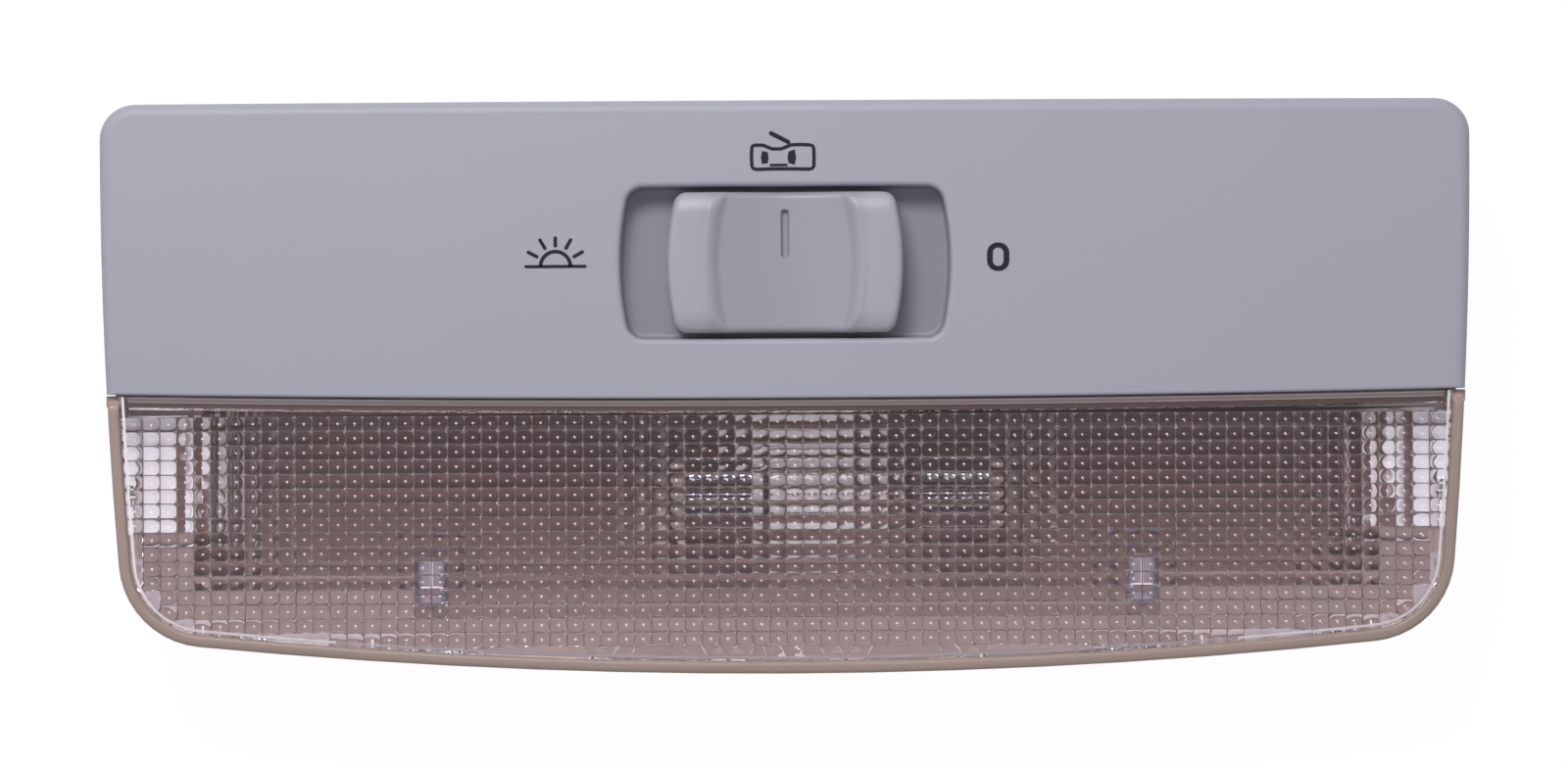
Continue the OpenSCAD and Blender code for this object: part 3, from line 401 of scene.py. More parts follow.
class Nodes:
    """Short ways to add nodes to a tree."""

    def __init__(self, tree):
        self.tree = tree

    def add(self, kind, **values):
        node = self.tree.nodes.new(kind)
        for key, value in values.items():
            setattr(node, key, value)
        return node

    def join(self, source, target):
        self.tree.links.new(source, target)

    def feed(self, target, value):
        if isinstance(value, bpy.types.NodeSocket):
            self.join(value, target)
        else:
            target.default_value = value

    def math(self, operation, a, b=0.0, clamp=False):
        node = self.add("ShaderNodeMath", operation=operation, use_clamp=clamp)
        self.feed(node.inputs[0], a)
        self.feed(node.inputs[1], b)
        return node.outputs[0]

    def noise(self, vector, scale, detail=2.0, roughness=0.5):
        node = self.add("ShaderNodeTexNoise")
        self.join(vector, node.inputs["Vector"])
        self.feed(node.inputs["Scale"], scale)
        self.feed(node.inputs["Detail"], detail)
        self.feed(node.inputs["Roughness"], roughness)
        return node.outputs["Fac"]

    def mix(self, factor, a, b):
        node = self.add("ShaderNodeMix", data_type="RGBA")
        # Inputs 6 and 7 and output 2 are the node's colour sockets
        self.feed(node.inputs[0], factor)
        self.feed(node.inputs[6], a)
        self.feed(node.inputs[7], b)
        return node.outputs[2]

    def ramp(self, value, low, high):
        node = self.add("ShaderNodeMapRange", interpolation_type="SMOOTHSTEP")
        self.feed(node.inputs[0], value)
        self.feed(node.inputs[1], low)
        self.feed(node.inputs[2], high)
        return node.outputs[0]

    def bump(self, height, strength, distance):
        node = self.add("ShaderNodeBump")
        self.feed(node.inputs["Strength"], strength)
        self.feed(node.inputs["Distance"], distance)
        self.feed(node.inputs["Height"], height)
        return node.outputs["Normal"]

    def here(self):
        """The shaded point in the object's own space, in metres."""
        return self.add("ShaderNodeTexCoord").outputs["Object"]

    def parts(self, vector):
        node = self.add("ShaderNodeSeparateXYZ")
        self.join(vector, node.inputs[0])
        return node.outputs

    def stretched(self, vector, scale):
        node = self.add("ShaderNodeMapping")
        node.inputs["Scale"].default_value = scale
        self.join(vector, node.inputs["Vector"])
        return node.outputs[0]

    def scaled(self, vector, factor):
        node = self.add("ShaderNodeVectorMath", operation="SCALE")
        self.join(vector, node.inputs[0])
        self.join(factor, node.inputs["Scale"])
        return node.outputs[0]

    def swing(self, noise, amount):
        """A noise of 0 to 1 turned into a change of up to half the amount either way."""
        return self.math("MULTIPLY", self.math("SUBTRACT", noise, 0.5), amount)

    def use(self, group, values):
        """A node group with its inputs set by name."""
        node = self.add("ShaderNodeGroup")
        node.node_tree = group
        for label, value in values.items():
            node.inputs[label].default_value = value
        return node


FLOAT, COLOUR, VECTOR = "NodeSocketFloat", "NodeSocketColor", "NodeSocketVector"


def effect(name, inputs):
    """A node group for a finish: the group, its nodes, its inputs and its outputs."""
    tree = bpy.data.node_groups.new(name, "ShaderNodeTree")
    for label, kind, value in inputs:
        socket = tree.interface.new_socket(label, in_out="INPUT", socket_type=kind)
        socket.default_value = value
    for label, kind in (("Colour", COLOUR), ("Roughness", FLOAT), ("Normal", VECTOR)):
        tree.interface.new_socket(label, in_out="OUTPUT", socket_type=kind)
    n = Nodes(tree)
    return tree, n, n.add("NodeGroupInput").outputs, n.add("NodeGroupOutput").inputs


def moulded_effect():
    """Moulded plastic: fine grain, faint mottling and a little uneven gloss."""
    tree, n, given, result = effect(
        "moulded_plastic",
        [
            ("Colour", COLOUR, (0.5, 0.5, 0.5, 1)),
            ("Gloss", FLOAT, 0.45),
            ("Grain size", FLOAT, 5200.0),
            ("Grain depth", FLOAT, 0.25),
            ("Mottle", FLOAT, 0.06),
        ],
    )
    place = n.here()
    fine = n.noise(place, given["Grain size"], 3.0, 0.6)
    cloud = n.noise(place, 45.0, 3.0, 0.55)
    level = n.math("ADD", n.swing(fine, 0.03), n.swing(cloud, given["Mottle"]))
    level = n.math("ADD", level, 1.0)
    n.join(n.scaled(given["Colour"], level), result["Colour"])
    gloss = n.swing(n.noise(place, 90.0, 4.0, 0.6), 0.12)
    n.join(n.math("ADD", given["Gloss"], gloss, clamp=True), result["Roughness"])
    n.join(n.bump(fine, given["Grain depth"], 0.00004), result["Normal"])
    return tree


def metal_effect():
    """Rolled or stamped sheet: fine streaks along X, dull patches and small scratches."""
    tree, n, given, result = effect(
        "sheet_metal",
        [
            ("Colour", COLOUR, (0.6, 0.6, 0.6, 1)),
            ("Tarnish", COLOUR, (0.4, 0.38, 0.35, 1)),
            ("Gloss", FLOAT, 0.3),
            ("Streaks", FLOAT, 0.5),
            ("Patches", FLOAT, 0.4),
        ],
    )
    place = n.here()
    streak = n.noise(n.stretched(place, (60.0, 4200.0, 4200.0)), 1.0, 3.0, 0.6)
    spots = n.ramp(n.noise(place, 130.0, 5.0, 0.65), 0.48, 0.72)
    tarnish = n.math("MULTIPLY", spots, given["Patches"])
    n.join(n.mix(tarnish, given["Colour"], given["Tarnish"]), result["Colour"])
    rough = n.math("MULTIPLY", n.swing(streak, given["Streaks"]), 0.3)
    rough = n.math("ADD", rough, n.math("MULTIPLY", spots, 0.15))
    n.join(n.math("ADD", rough, given["Gloss"], clamp=True), result["Roughness"])
    n.join(n.bump(streak, n.math("MULTIPLY", given["Streaks"], 0.2), 0.00003), result["Normal"])
    return tree


MOULDED = moulded_effect()
METAL = metal_effect()


def material(name):
    """A new material, its nodes and its main shader."""
    made = bpy.data.materials.new(name)
    made.use_nodes = True
    return made, Nodes(made.node_tree), made.node_tree.nodes["Principled BSDF"]


def dress(n, shader, used):
    """Joins what an effect gives to the main shader."""
    n.join(used["Colour"], shader.inputs["Base Color"])
    n.join(used["Roughness"], shader.inputs["Roughness"])
    n.join(used["Normal"], shader.inputs["Normal"])


def plastic(name, shade, gloss, grain, mottle, darker=None):
    """Moulded plastic. grain is (size, depth); darker is (axis, from, to, share taken off), painted
    shade.
    """
    made, n, shader = material(name)
    size, depth = grain
    values = {"Gloss": gloss, "Grain size": size, "Grain depth": depth, "Mottle": mottle}
    used = n.use(MOULDED, {"Colour": colour(*shade), **values}).outputs
    dress(n, shader, used)
    # Painted shade: the colour darkens along the given axis
    if darker:
        axis, start, end, share = darker
        level = n.ramp(n.math("ABSOLUTE", n.parts(n.here())[axis]), start * MM, end * MM)
        keep = n.math("SUBTRACT", 1.0, n.math("MULTIPLY", level, share))
        n.join(n.scaled(used["Colour"], keep), shader.inputs["Base Color"])
    return made


def metal(name, shade, tarnish, gloss, patches):
    made, n, shader = material(name)
    values = {"Colour": colour(*shade), "Tarnish": colour(*tarnish), "Gloss": gloss, "Patches": patches}
    dress(n, shader, n.use(METAL, values).outputs)
    shader.inputs["Metallic"].default_value = 1.0
    return made


# The panel darkens from 8.3 mm high down to 6.2 mm, in its recess and down its sides: painted shade
PANEL_GREY = plastic("panel_grey", (165, 164, 178), 0.48, (4200.0, 0.3), 0.03, ("Z", 8.3, 6.2, 0.24))
# The knob darkens between its ridges: painted shade in its dish
KNOB_GREY = plastic("knob_grey", (166, 165, 178), 0.4, (5200.0, 0.2), 0.03, ("X", 10.0, 7.6, 0.15))
HOUSING_TAUPE = plastic("housing_taupe", (159, 140, 132), 0.42, (2600.0, 0.15), 0.1)
INNER_WHITE = plastic("inner_white", (222, 220, 212), 0.4, (3000.0, 0.1), 0.06)
PRINT_INK = plastic("print_ink", (36, 36, 52), 0.6, (6000.0, 0.3), 0.2)
PRINT_INK.node_tree.nodes["Principled BSDF"].inputs["Specular IOR Level"].default_value = 0.15
CAP_METAL = metal("cap_metal", (168, 172, 180), (44, 42, 44), 0.07, 0.5)
FILAMENT_WIRE = metal("filament_wire", (150, 148, 146), (90, 86, 84), 0.35, 0.6)
CONTACT_BRASS = metal("contact_brass", (140, 131, 125), (96, 85, 78), 0.32, 0.6)
SPRING_STEEL = metal("spring_steel", (178, 180, 184), (110, 106, 100), 0.32, 0.5)
SCREW_STEEL = metal("screw_steel", (190, 190, 192), (140, 138, 120), 0.3, 0.6)

# Where the reflector's sheet is painted bright, in metres: painted reflections on its end tabs and in
# the streaks beside them, and the middle and the half sizes of a painted highlight behind the bulb
TAB_LEFT, TAB_RIGHT = (0.0684, 0.0692), (0.0702, 0.071)
STREAK_REFLECTIONS = (0.0585, 0.0662)
SPOT, SPOT_HALF = (0.0019, -0.0101), (0.0084, 0.0058)


def reflector_material():
    """Bright ends and dark brown middle as painted reflections, with a painted highlight by the bulb.
    """
    made, n, shader = material("reflector_sheet")
    values = {"Colour": colour(238, 247, 254), "Tarnish": colour(236, 232, 236), "Gloss": 0.3}
    used = n.use(METAL, values).outputs
    place = n.here()
    parts = n.parts(place)
    x, y = parts["X"], parts["Y"]
    left = n.math("MULTIPLY", x, -1.0)
    # Painted reflections: the end tabs are bright where the metallised sheet mirrors light
    tabs = n.math("MAXIMUM", n.ramp(left, *TAB_LEFT), n.ramp(x, *TAB_RIGHT))
    # Painted reflections in streaks beside the tabs, fewer on the right
    fewer = n.math("MULTIPLY", n.ramp(x, 0.0, 0.001), 0.05)
    streak = n.noise(n.stretched(place, (1300.0, 70.0, 0.0)), 1.0)
    streak = n.ramp(n.math("SUBTRACT", streak, fewer), 0.48, 0.57)
    streak = n.math("MULTIPLY", streak, n.ramp(n.math("ABSOLUTE", x), *STREAK_REFLECTIONS))
    # A painted highlight: a pale spot on the sheet behind the bulb
    squares = []
    for value, middle, half in zip((x, y), SPOT, SPOT_HALF):
        off = n.math("DIVIDE", n.math("SUBTRACT", value, middle), half)
        squares.append(n.math("MULTIPLY", off, off))
    glow = n.math("SUBTRACT", 1.0, n.ramp(n.math("ADD", *squares), 0.7, 1.4))
    bright = n.math("MAXIMUM", n.math("MAXIMUM", tabs, streak), glow)
    cloud = n.noise(place, 160.0, 4.0)
    # Dull brown where the sheet mirrors the dark inside of the lamp: painted dark reflection
    pale = n.mix(cloud, colour(100, 80, 78), colour(116, 94, 91))
    dark = n.mix(cloud, colour(76, 50, 48), colour(91, 63, 60))
    # The painted dark reflection is darker towards the top, except near the left end
    high = n.math("SUBTRACT", n.ramp(y, -0.019, -0.006), n.ramp(left, 0.035, 0.05))
    dull = n.mix(n.math("MAXIMUM", high, 0.0), pale, dark)
    dress(n, shader, used)
    n.join(n.mix(bright, dull, used["Colour"]), shader.inputs["Base Color"])
    rough = n.math("SUBTRACT", 0.5, n.math("MULTIPLY", bright, 0.15))
    n.join(rough, shader.inputs["Roughness"])
    shader.inputs["Metallic"].default_value = 0.1
    # The painted highlight also glows a little, though the sheet is no lamp: painted light
    n.join(n.mix(glow, (0, 0, 0, 1), (1.0, 0.96, 0.98, 1)), shader.inputs["Emission Color"])
    shader.inputs["Emission Strength"].default_value = 0.17
    return made


def inside_material():
    """Inner faces in a darker taupe, painted shade under the lens; less dark along its lower edge and
    ends.
    """
    made, n, shader = material("housing_inside")
    values = {"Gloss": 0.5, "Grain size": 2600.0, "Grain depth": 0.15, "Mottle": 0.1}
    use = n.use(MOULDED, values)
    parts = n.parts(n.here())
    # Less painted shade along the lens's lower edge and at its ends
    low = n.math("SUBTRACT", 1.0, n.ramp(parts["Y"], -0.0262, -0.0256))
    end = n.ramp(n.math("ABSOLUTE", parts["X"]), 0.0415, 0.0425)
    pale = n.math("MAXIMUM", low, end)
    n.join(n.mix(pale, colour(123, 106, 102), colour(147, 133, 129)), use.inputs["Colour"])
    dress(n, shader, use.outputs)
    return made


NEUTRAL = (1.0, 1.0, 1.0, 1.0)
WARM_SHINE = (1.0, 0.84, 0.88, 1.0)
ACRYLIC, GLASS = 1.49, 1.45


def clear_material(name, tint, roughness, through, ior=ACRYLIC, shine=NEUTRAL):
    """Clear or milky: through is the share of light that passes, and shine tints the reflections."""
    made, _, shader = material(name)
    shader.inputs["Base Color"].default_value = tint
    shader.inputs["Roughness"].default_value = roughness
    shader.inputs["IOR"].default_value = ior
    shader.inputs["Transmission Weight"].default_value = through
    shader.inputs["Specular Tint"].default_value = shine
    return made


REFLECTOR_SHEET = reflector_material()
# The housing's darker inner faces: painted shade under the lens
HOUSING_INSIDE = inside_material()
LENS_CLEAR = clear_material("lens_clear", colour(226, 217, 220), 0.03, 1.0, shine=WARM_SHINE)
# Dark brown and half clear along the pillows' borders: painted shade on the clear lens
LENS_RIDGE = clear_material("lens_ridge", colour(88, 68, 67), 0.3, 0.45, shine=WARM_SHINE)
# Pale and half clear: painted highlights on the lip's lines, along the lower edge and on cut pillows
LENS_EDGE = clear_material("lens_edge", colour(212, 208, 220), 0.25, 0.65)
# A dark band under the lip: painted shade
LENS_SHADE = clear_material("lens_shade", colour(74, 50, 48), 0.4, 0.25)
# A pale band along the lip: painted sheen
LENS_LIP = clear_material("lens_lip", colour(142, 124, 123), 0.3, 0.4)
# Near white: painted highlights along the lens's edge, at its wall's foot and on the lugs
LENS_GLINT = clear_material("lens_glint", colour(252, 248, 252), 0.25, 0.15)
# A near-white dot in each pillow: a painted highlight, the lamps' reflection
LENS_DOT_HIGHLIGHT = clear_material("lens_dot_highlight", colour(244, 232, 234), 0.25, 0.12)
LENS_LUG = clear_material("lens_lug", colour(160, 160, 180), 0.08, 0.75)
BULB_CLEAR = clear_material("bulb_clear", colour(246, 246, 246), 0.02, 1.0, ior=GLASS)

# The lens's clear plastic and the colours painted on it as highlight, sheen and shade, and the indices
# by which its faces name them
LENS_CLEAR_AND_PAINTED = (LENS_CLEAR, LENS_RIDGE, LENS_GLINT, LENS_SHADE, LENS_EDGE, LENS_LIP, LENS_DOT_HIGHLIGHT)
CLEAR, RIDGE, GLINT, SHADE, EDGE, LIP, DOT = range(7)


# The front panel


def panel_height(x, y):
    """Height of the panel's face, rounded at its sides and along the joint."""
    from_joint = y - joint(x) - JOINT_HALF_GAP
    return PANEL_Z - max(drop(LAMP.depth(x, y), PANEL_ROUND), drop(from_joint, JOINT_ROUND))


def leg(bm, top_z, hook_z, width, thick, reach, place):
    """A snap leg: a profile in XZ, made wide along Y, then put in its place."""
    gap, rise, hook, point = 0.3, 2.2, 0.8, 1.0
    back, tip = -thick - gap, hook_z - rise - point
    profile = [
        (back, top_z),
        (back, tip),
        (back / 2 - gap / 2, tip),
        (-gap, hook_z - rise),
        (reach, hook_z - hook),
        (reach, hook_z),
        (-gap, hook_z),
        (-gap, top_z),
    ]
    near = ring(bm, [(x, -width / 2, z) for x, z in profile])
    far = grow(bm, near, [(x, width / 2, z) for x, z in profile])
    for edges in (near, far):
        bmesh.ops.contextual_create(bm, geom=edges)
    verts = {v for e in near + far for v in e.verts}
    bmesh.ops.transform(bm, matrix=place, verts=list(verts))


def placed(x, y, angle):
    """A turn about Z, in degrees, and a move to a point of the plan."""
    turn = Matrix.Rotation(math.radians(angle), 4, "Z")
    return Matrix.Translation(Vector((x, y, 0)) * MM) @ turn


def recess_ring(inset, z):
    return [(x, y + SWITCH_Y, z) for x, y in RECESS.closed(inset)]


def slot_ring(z):
    """The slot in the recess's floor that the switch's stem passes."""
    half_x, half_y, r = 6.1, 1.0, 0.8
    points = []
    for right, up, start in ((1, 1, 90), (1, -1, 0), (-1, -1, 270), (-1, 1, 180)):
        points += arc((right * half_x, up * half_y), r, start, start - 90, 6)
    return [(x, y + SWITCH_Y, z) for x, y in points]


def make_panel():
    bm = new_mesh()
    gap = JOINT_HALF_GAP
    corner = LAMP.end_x(JOINT_Y, 0) - 3.5
    last = 0.08

    def level(inset, shift, z):
        return [(x, y, z) for x, y in cut_loop(inset, gap + shift, False)]

    def foot(inset, shift):
        """The flange's level, and higher along the joint, where the lens's tabs go under."""
        return [
            (x, y, JOINT_FOOT_Z if y < joint(x) + gap + shift + 0.01 and abs(x) < corner else z)
            for x, y, z in level(inset, shift, FLANGE_Z)
        ]

    def face_level(inset, shift):
        return [(x, y, panel_height(x, y)) for x, y in cut_loop(inset, gap + shift, False)]

    low = ring(bm, foot(0, 0))
    rings = [level(0, 0, PANEL_Z - PANEL_ROUND)]
    rings += [face_level(PANEL_ROUND * share, JOINT_ROUND * share) for _, share in quarter(8)]
    rings.append(face_level(PANEL_ROUND + last, JOINT_ROUND + last))
    outer = climb(bm, low, rings)

    # The recess: its rounded rim, its wall and the fillet at its foot
    flat, slope = 0.15, 0.1
    rim = [recess_ring(-RECESS_ROUND - flat, PANEL_Z)]
    for across, down in quarter(8):
        rim.append(recess_ring(-RECESS_ROUND * across, PANEL_Z - RECESS_ROUND * down))
    rim.append(recess_ring(slope, RECESS_Z + RECESS_FOOT))
    for up, across in quarter(5)[1:]:
        rim.append(recess_ring(slope + RECESS_FOOT * across, RECESS_Z + RECESS_FOOT * up))
    rim.append(recess_ring(slope + RECESS_FOOT + 0.1, RECESS_Z))
    edge = ring(bm, rim[0])
    floor = climb(bm, edge, rim[1:])
    fill(bm, outer + edge)

    slot = ring(bm, slot_ring(RECESS_Z))
    fill(bm, floor + slot)
    slot_low = grow(bm, slot, slot_ring(TUB_Z))
    tub_low = ring(bm, recess_ring(-TUB_WALL, TUB_Z))
    fill(bm, slot_low + tub_low, -1.0)
    tub_high = grow(bm, tub_low, recess_ring(-TUB_WALL, PANEL_INNER_Z))
    inner = [foot(PANEL_WALL, PANEL_WALL), level(PANEL_WALL, PANEL_WALL, PANEL_INNER_Z)]
    fill(bm, climb(bm, low, inner) + tub_high, -1.0)

    top_z = PANEL_INNER_Z + 0.4
    for s in (-1, 1):
        side = placed(s * 67.7, 14.0, 0 if s > 0 else 180)
        top = placed(s * 33.0, 23.7, 90)
        for place in (side, top):
            leg(bm, top_z, hook_z=-1.2, width=7.0, thick=1.5, reach=1.1, place=place)
    finish_mesh(bm, "panel_face", PANEL_GREY, "housing", ("front_panel",))


# The switch knob


# The shape of its top, in millimetres. The ridge's crest, its fall, the bead along it and the start
# of the dish are measured in from the knob's ends, and the indicator groove from its middle.
CREST, CREST_HALF_W, CREST_END = 2.4, 1.9, 4.3
FALL, FALL_START, FALL_END = 0.85, 4.5, 6.1
BEAD, BEAD_AT, BEAD_W = 0.12, 4.35, 0.24
DISH, DISH_START = 1.25, 5.5
GROOVE, GROOVE_R, GROOVE_LOW, GROOVE_HIGH = 0.75, 0.42, 0.95, 5.55
KNOB_ROUND = 0.8
KNOB_EDGE = (0, 0.02, 0.06, 0.13, 0.22, 0.34, 0.48, 0.64, 0.8, 0.86)
KNOB_STEPS = 76


def knob_height(x, y):
    """Height of the knob's top: two ridges along its bowed ends and a dish between them."""
    inward = KNOB.end_x(y) - abs(x)
    ridge = RIDGE_Z - 0.12 - FALL * smooth_step(FALL_START, FALL_END, inward)
    ridge -= 0.1 * ((min(inward, CREST_END) - CREST) / CREST_HALF_W) ** 2
    ridge += BEAD * math.exp(-(((inward - BEAD_AT) / BEAD_W) ** 2))
    middle = max(0.0, min(1.0, abs(x) / (KNOB.end_x(y) - DISH_START)))
    dish = DISH * math.cos(middle * math.pi / 2) if middle < 1 else 0.0
    top = ridge - dish
    crown = RIDGE_Z + 0.05 - FALL * smooth_step(KNOB_HALF_H - 2.6, KNOB_HALF_H + 0.2, abs(y))
    # The lower of the two, with the crease where they cross smoothed out
    blend = 0.4
    h = max(0.0, min(1.0, 0.5 + 0.5 * (crown - top) / blend))
    z = crown * (1 - h) + top * h - blend * h * (1 - h)
    reach = math.hypot(x, y - min(max(y, GROOVE_LOW), GROOVE_HIGH)) - GROOVE_R
    return z - GROOVE * smooth_step(0.08, -0.16, reach) if reach < 0.08 else z


def make_knob():
    bm = new_mesh()

    def loop(inset):
        return KNOB.closed(inset, side=22, corner=9, long=80)

    def level(inset, z):
        return [(x, y + SWITCH_Y, z) for x, y in loop(inset)]

    def edge_level(inset):
        fall = drop(inset, KNOB_ROUND)
        return [(x, y + SWITCH_Y, knob_height(x, y) - fall) for x, y in loop(inset)]

    def top_level(share):
        points = [(x * share, y * share) for x, y in loop(KNOB_EDGE[-1])]
        return [(x, y + SWITCH_Y, knob_height(x, y)) for x, y in points]

    low = ring(bm, level(0.25, KNOB_LOW_Z))
    rings = [level(0.0, KNOB_LOW_Z + 0.25)]
    rings += [edge_level(inset) for inset in KNOB_EDGE]
    rings += [top_level(1 - k / KNOB_STEPS) for k in range(1, KNOB_STEPS)]
    last = climb(bm, low, rings)
    centre = Vector((0, SWITCH_Y, knob_height(0, 0))) * MM
    bmesh.ops.pointmerge(bm, verts=list({v for e in last for v in e.verts}), merge_co=centre)
    bmesh.ops.contextual_create(bm, geom=low)
    block(bm, -2, 2, SWITCH_Y - 1.5, SWITCH_Y + 1.5, -1.0, KNOB_LOW_Z - 0.01, 0.2)
    finish_mesh(bm, "knob_cap", KNOB_GREY, "switch", ("switch_knob",), sharp=50)


# The printed signs by the switch

INK_LOW, INK_HIGH = PANEL_Z - 0.01, PANEL_Z + 0.02


def round_box(x0, x1, y0, y1, r, steps):
    """The outline of a box with round corners."""
    return (
        [(x1 - r, y1)]
        + arc((x1 - r, y1 - r), r, 90, 0, steps)
        + [(x1, y0 + r)]
        + arc((x1 - r, y0 + r), r, 0, -90, steps)
        + [(x0 + r, y0)]
        + arc((x0 + r, y0 + r), r, 270, 180, steps)
        + [(x0, y1 - r)]
        + arc((x0 + r, y1 - r), r, 180, 90, steps)
    )


def sign(bm, *loops):
    """A flat printed form between an outer loop and any inner loops, with a slight thickness."""
    rings = [ring(bm, [(x, y, INK_LOW) for x, y in loop]) for loop in loops]
    tops = [grow(bm, edges, [(x, y, INK_HIGH) for x, y in loop]) for edges, loop in zip(rings, loops)]
    fill(bm, [e for edges in rings for e in edges], -1.0)
    fill(bm, [e for edges in tops for e in edges])


def bar(bm, start, end, width):
    """A straight printed stroke with round ends."""
    turn = heading(start, end)
    r = width / 2
    sign(bm, arc(end, r, turn - 90, turn + 90, 8) + arc(start, r, turn + 90, turn + 270, 8))


def stroke_band(path, width):
    """The edge of a closed stroke along a closed path: its outer and inner loops."""
    outer, inner = [], []
    n = len(path)
    for k in range(n):
        a, b = path[k - 1], path[(k + 1) % n]
        length = math.hypot(b[0] - a[0], b[1] - a[1])
        nx, ny = (b[1] - a[1]) / length, -(b[0] - a[0]) / length
        outer.append((path[k][0] - nx * width / 2, path[k][1] - ny * width / 2))
        inner.append((path[k][0] + nx * width / 2, path[k][1] + ny * width / 2))
    return outer, inner


def make_signs():
    # Rising half sun over a line
    bm = new_mesh()
    x, y = -25.98, 13.75
    bar(bm, (x - 3.35, y), (x + 3.35, y), 0.38)
    outer = arc((x, y), 1.9, 0, 180, 24)
    inner = arc((x, y), 1.48, 180, 0, 24)
    sign(bm, [(x + 1.9, y)] + outer + [(x - 1.48, y)] + inner)
    for angle in (90, 60, 28, 120, 152):
        c, s = math.cos(math.radians(angle)), math.sin(math.radians(angle))
        near, far = (2.35, 3.22) if angle == 90 else (2.4, 3.45)
        bar(bm, (x + near * c, y + near * s), (x + far * c, y + far * s), 0.42)
    finish_mesh(bm, "sign_reading_light", PRINT_INK, "housing")

    # A zero
    bm = new_mesh()
    x, y = 24.1, 14.6
    sign(
        bm,
        round_box(x - 1.27, x + 1.27, y - 1.62, y + 1.62, 1.2, 10),
        round_box(x - 0.6, x + 0.6, y - 1.04, y + 1.04, 0.58, 10),
    )
    finish_mesh(bm, "sign_zero", PRINT_INK, "housing")

    # A car seen from above, with a door open
    bm = new_mesh()
    x, y = -0.2, 25.95
    body = [
        *((-3.5, 1.05), (-3.42, 1.32), (-3.1, 1.42), (-2.2, 1.4), (-1.75, 1.2), (-1.2, 0.98)),
        *((-0.2, 0.98), (0.3, 1.16), (0.9, 1.42), (1.8, 1.46), (3.0, 1.42), (3.38, 1.3), (3.5, 1.0)),
        *((3.53, 0.0), (3.5, -1.0), (3.35, -1.22), (3.0, -1.33), (1.0, -1.28), (-1.0, -1.28)),
        *((-3.0, -1.33), (-3.36, -1.22), (-3.5, -1.0), (-3.55, 0.0)),
    ]
    sign(bm, *stroke_band([(x + px, y + py) for px, py in body], 0.4))
    rear = [(-2.35, 0.75), (-1.7, 0.62), (-1.62, 0.0), (-1.7, -0.62), (-2.35, -0.75), (-2.5, 0.0)]
    front = [(1.35, 0.95), (0.65, 0.66), (0.52, 0.0), (0.65, -0.62), (1.35, -0.85), (1.5, 0.0)]
    for window in (rear, front):
        sign(bm, [(x + px, y + py) for px, py in window])
    bar(bm, (x - 1.35, y - 0.85), (x + 0.4, y - 0.85), 0.32)
    bar(bm, (x - 1.3, y + 2.75), (x + 0.6, y + 1.75), 0.52)
    finish_mesh(bm, "sign_door_light", PRINT_INK, "housing")


# The lens


# Its rounded edges, and the bands of its face with painted highlight, sheen and shade, in millimetres
# from the joint or in from its side. Below LOW_CELLS_Y the pillows that the wall cuts are painted pale.
LENS_ROUND, LIP_ROUND, WALL_DRAFT = 1.0, 0.15, 0.05
LIP_LINES = (0.26, 0.62, 0.72, 1.28, 1.34, 1.4, 1.46, 1.52, 1.6)
LIP_PALE_END = 0.72
LIP_BRIGHT = (0.15, 0.26)
LIP_BRIGHT_START = 0.64
SHADE_BAND = (0.8, 1.2)
EDGE_LINE = (0.29, 0.55)
GLINT_X, GLINT_Y = 52, -20
LOW_CELLS_Y = -19


def lens_height(x, y):
    """Height of the lens's outer face, with its lowered lip along the joint line."""
    from_joint = joint(x) - JOINT_HALF_GAP - y
    face = LENS_Z - drop(LAMP.depth(x, y) - LENS_INSET, LENS_ROUND)
    lip = LIP_Z + 0.2 * smooth_step(LIP_H, LIP_H + 0.2, from_joint) - drop(from_joint, LIP_ROUND)
    return min(face, lip)


def whole_cell(column, row, margin, cut=0.8):
    """True where the wall round the lens cuts no more than a little off a pillow."""
    corners = [(column + i, CELL_TOP - (row + j) * CELL_H) for i in (0, 1) for j in (0, 1)]
    return min(LAMP.depth(x * CELL_W, y) for x, y in corners) > margin - cut


def face_look(face):
    """The clear plastic or painted highlight, sheen or shade of one of the lens's outer faces."""
    x, y, z = face.calc_center_median() / MM
    from_joint = joint(x) - y - JOINT_HALF_GAP
    on_lip = z > LIP_Z - 0.3
    # The lip: a band of painted sheen crossed by thin lines of painted highlight
    if on_lip and from_joint < LIP_PALE_END:
        bright = LIP_BRIGHT[0] < from_joint < LIP_BRIGHT[1] or from_joint > LIP_BRIGHT_START
        return EDGE if bright else LIP
    if on_lip and SHADE_BAND[0] < from_joint < SHADE_BAND[1]:
        return SHADE
    # A thin painted highlight line along the lens's edge, white at the ends and near the top, paler
    # below
    if z > LIP_Z - 1.2 and EDGE_LINE[0] < LAMP.depth(x, y) - LENS_INSET < EDGE_LINE[1]:
        return GLINT if abs(x) > GLINT_X or y > GLINT_Y else EDGE
    return CLEAR


def cell_look(face, margin):
    """The clear plastic or painted highlight or shade of one of the pattern's faces."""
    x, y, _ = face.calc_center_median() / MM
    column, row = math.floor(x / CELL_W), math.floor((CELL_TOP - y) / CELL_H)
    u, w = x / CELL_W % 1.0, (CELL_TOP - y) / CELL_H % 1.0
    # Cut pillows low down are painted pale: painted highlights
    if not whole_cell(column, row, margin):
        return EDGE if y < LOW_CELLS_Y else CLEAR
    # Painted shade along each pillow's border
    if min(u, w, 1 - u, 1 - w) < CELL_LINES[1]:
        return RIDGE
    # A painted highlight dot in each pillow's middle
    if max(abs(u - 0.5), abs(w - 0.5)) < 0.5 - CELL_LINES[3]:
        return DOT
    return CLEAR


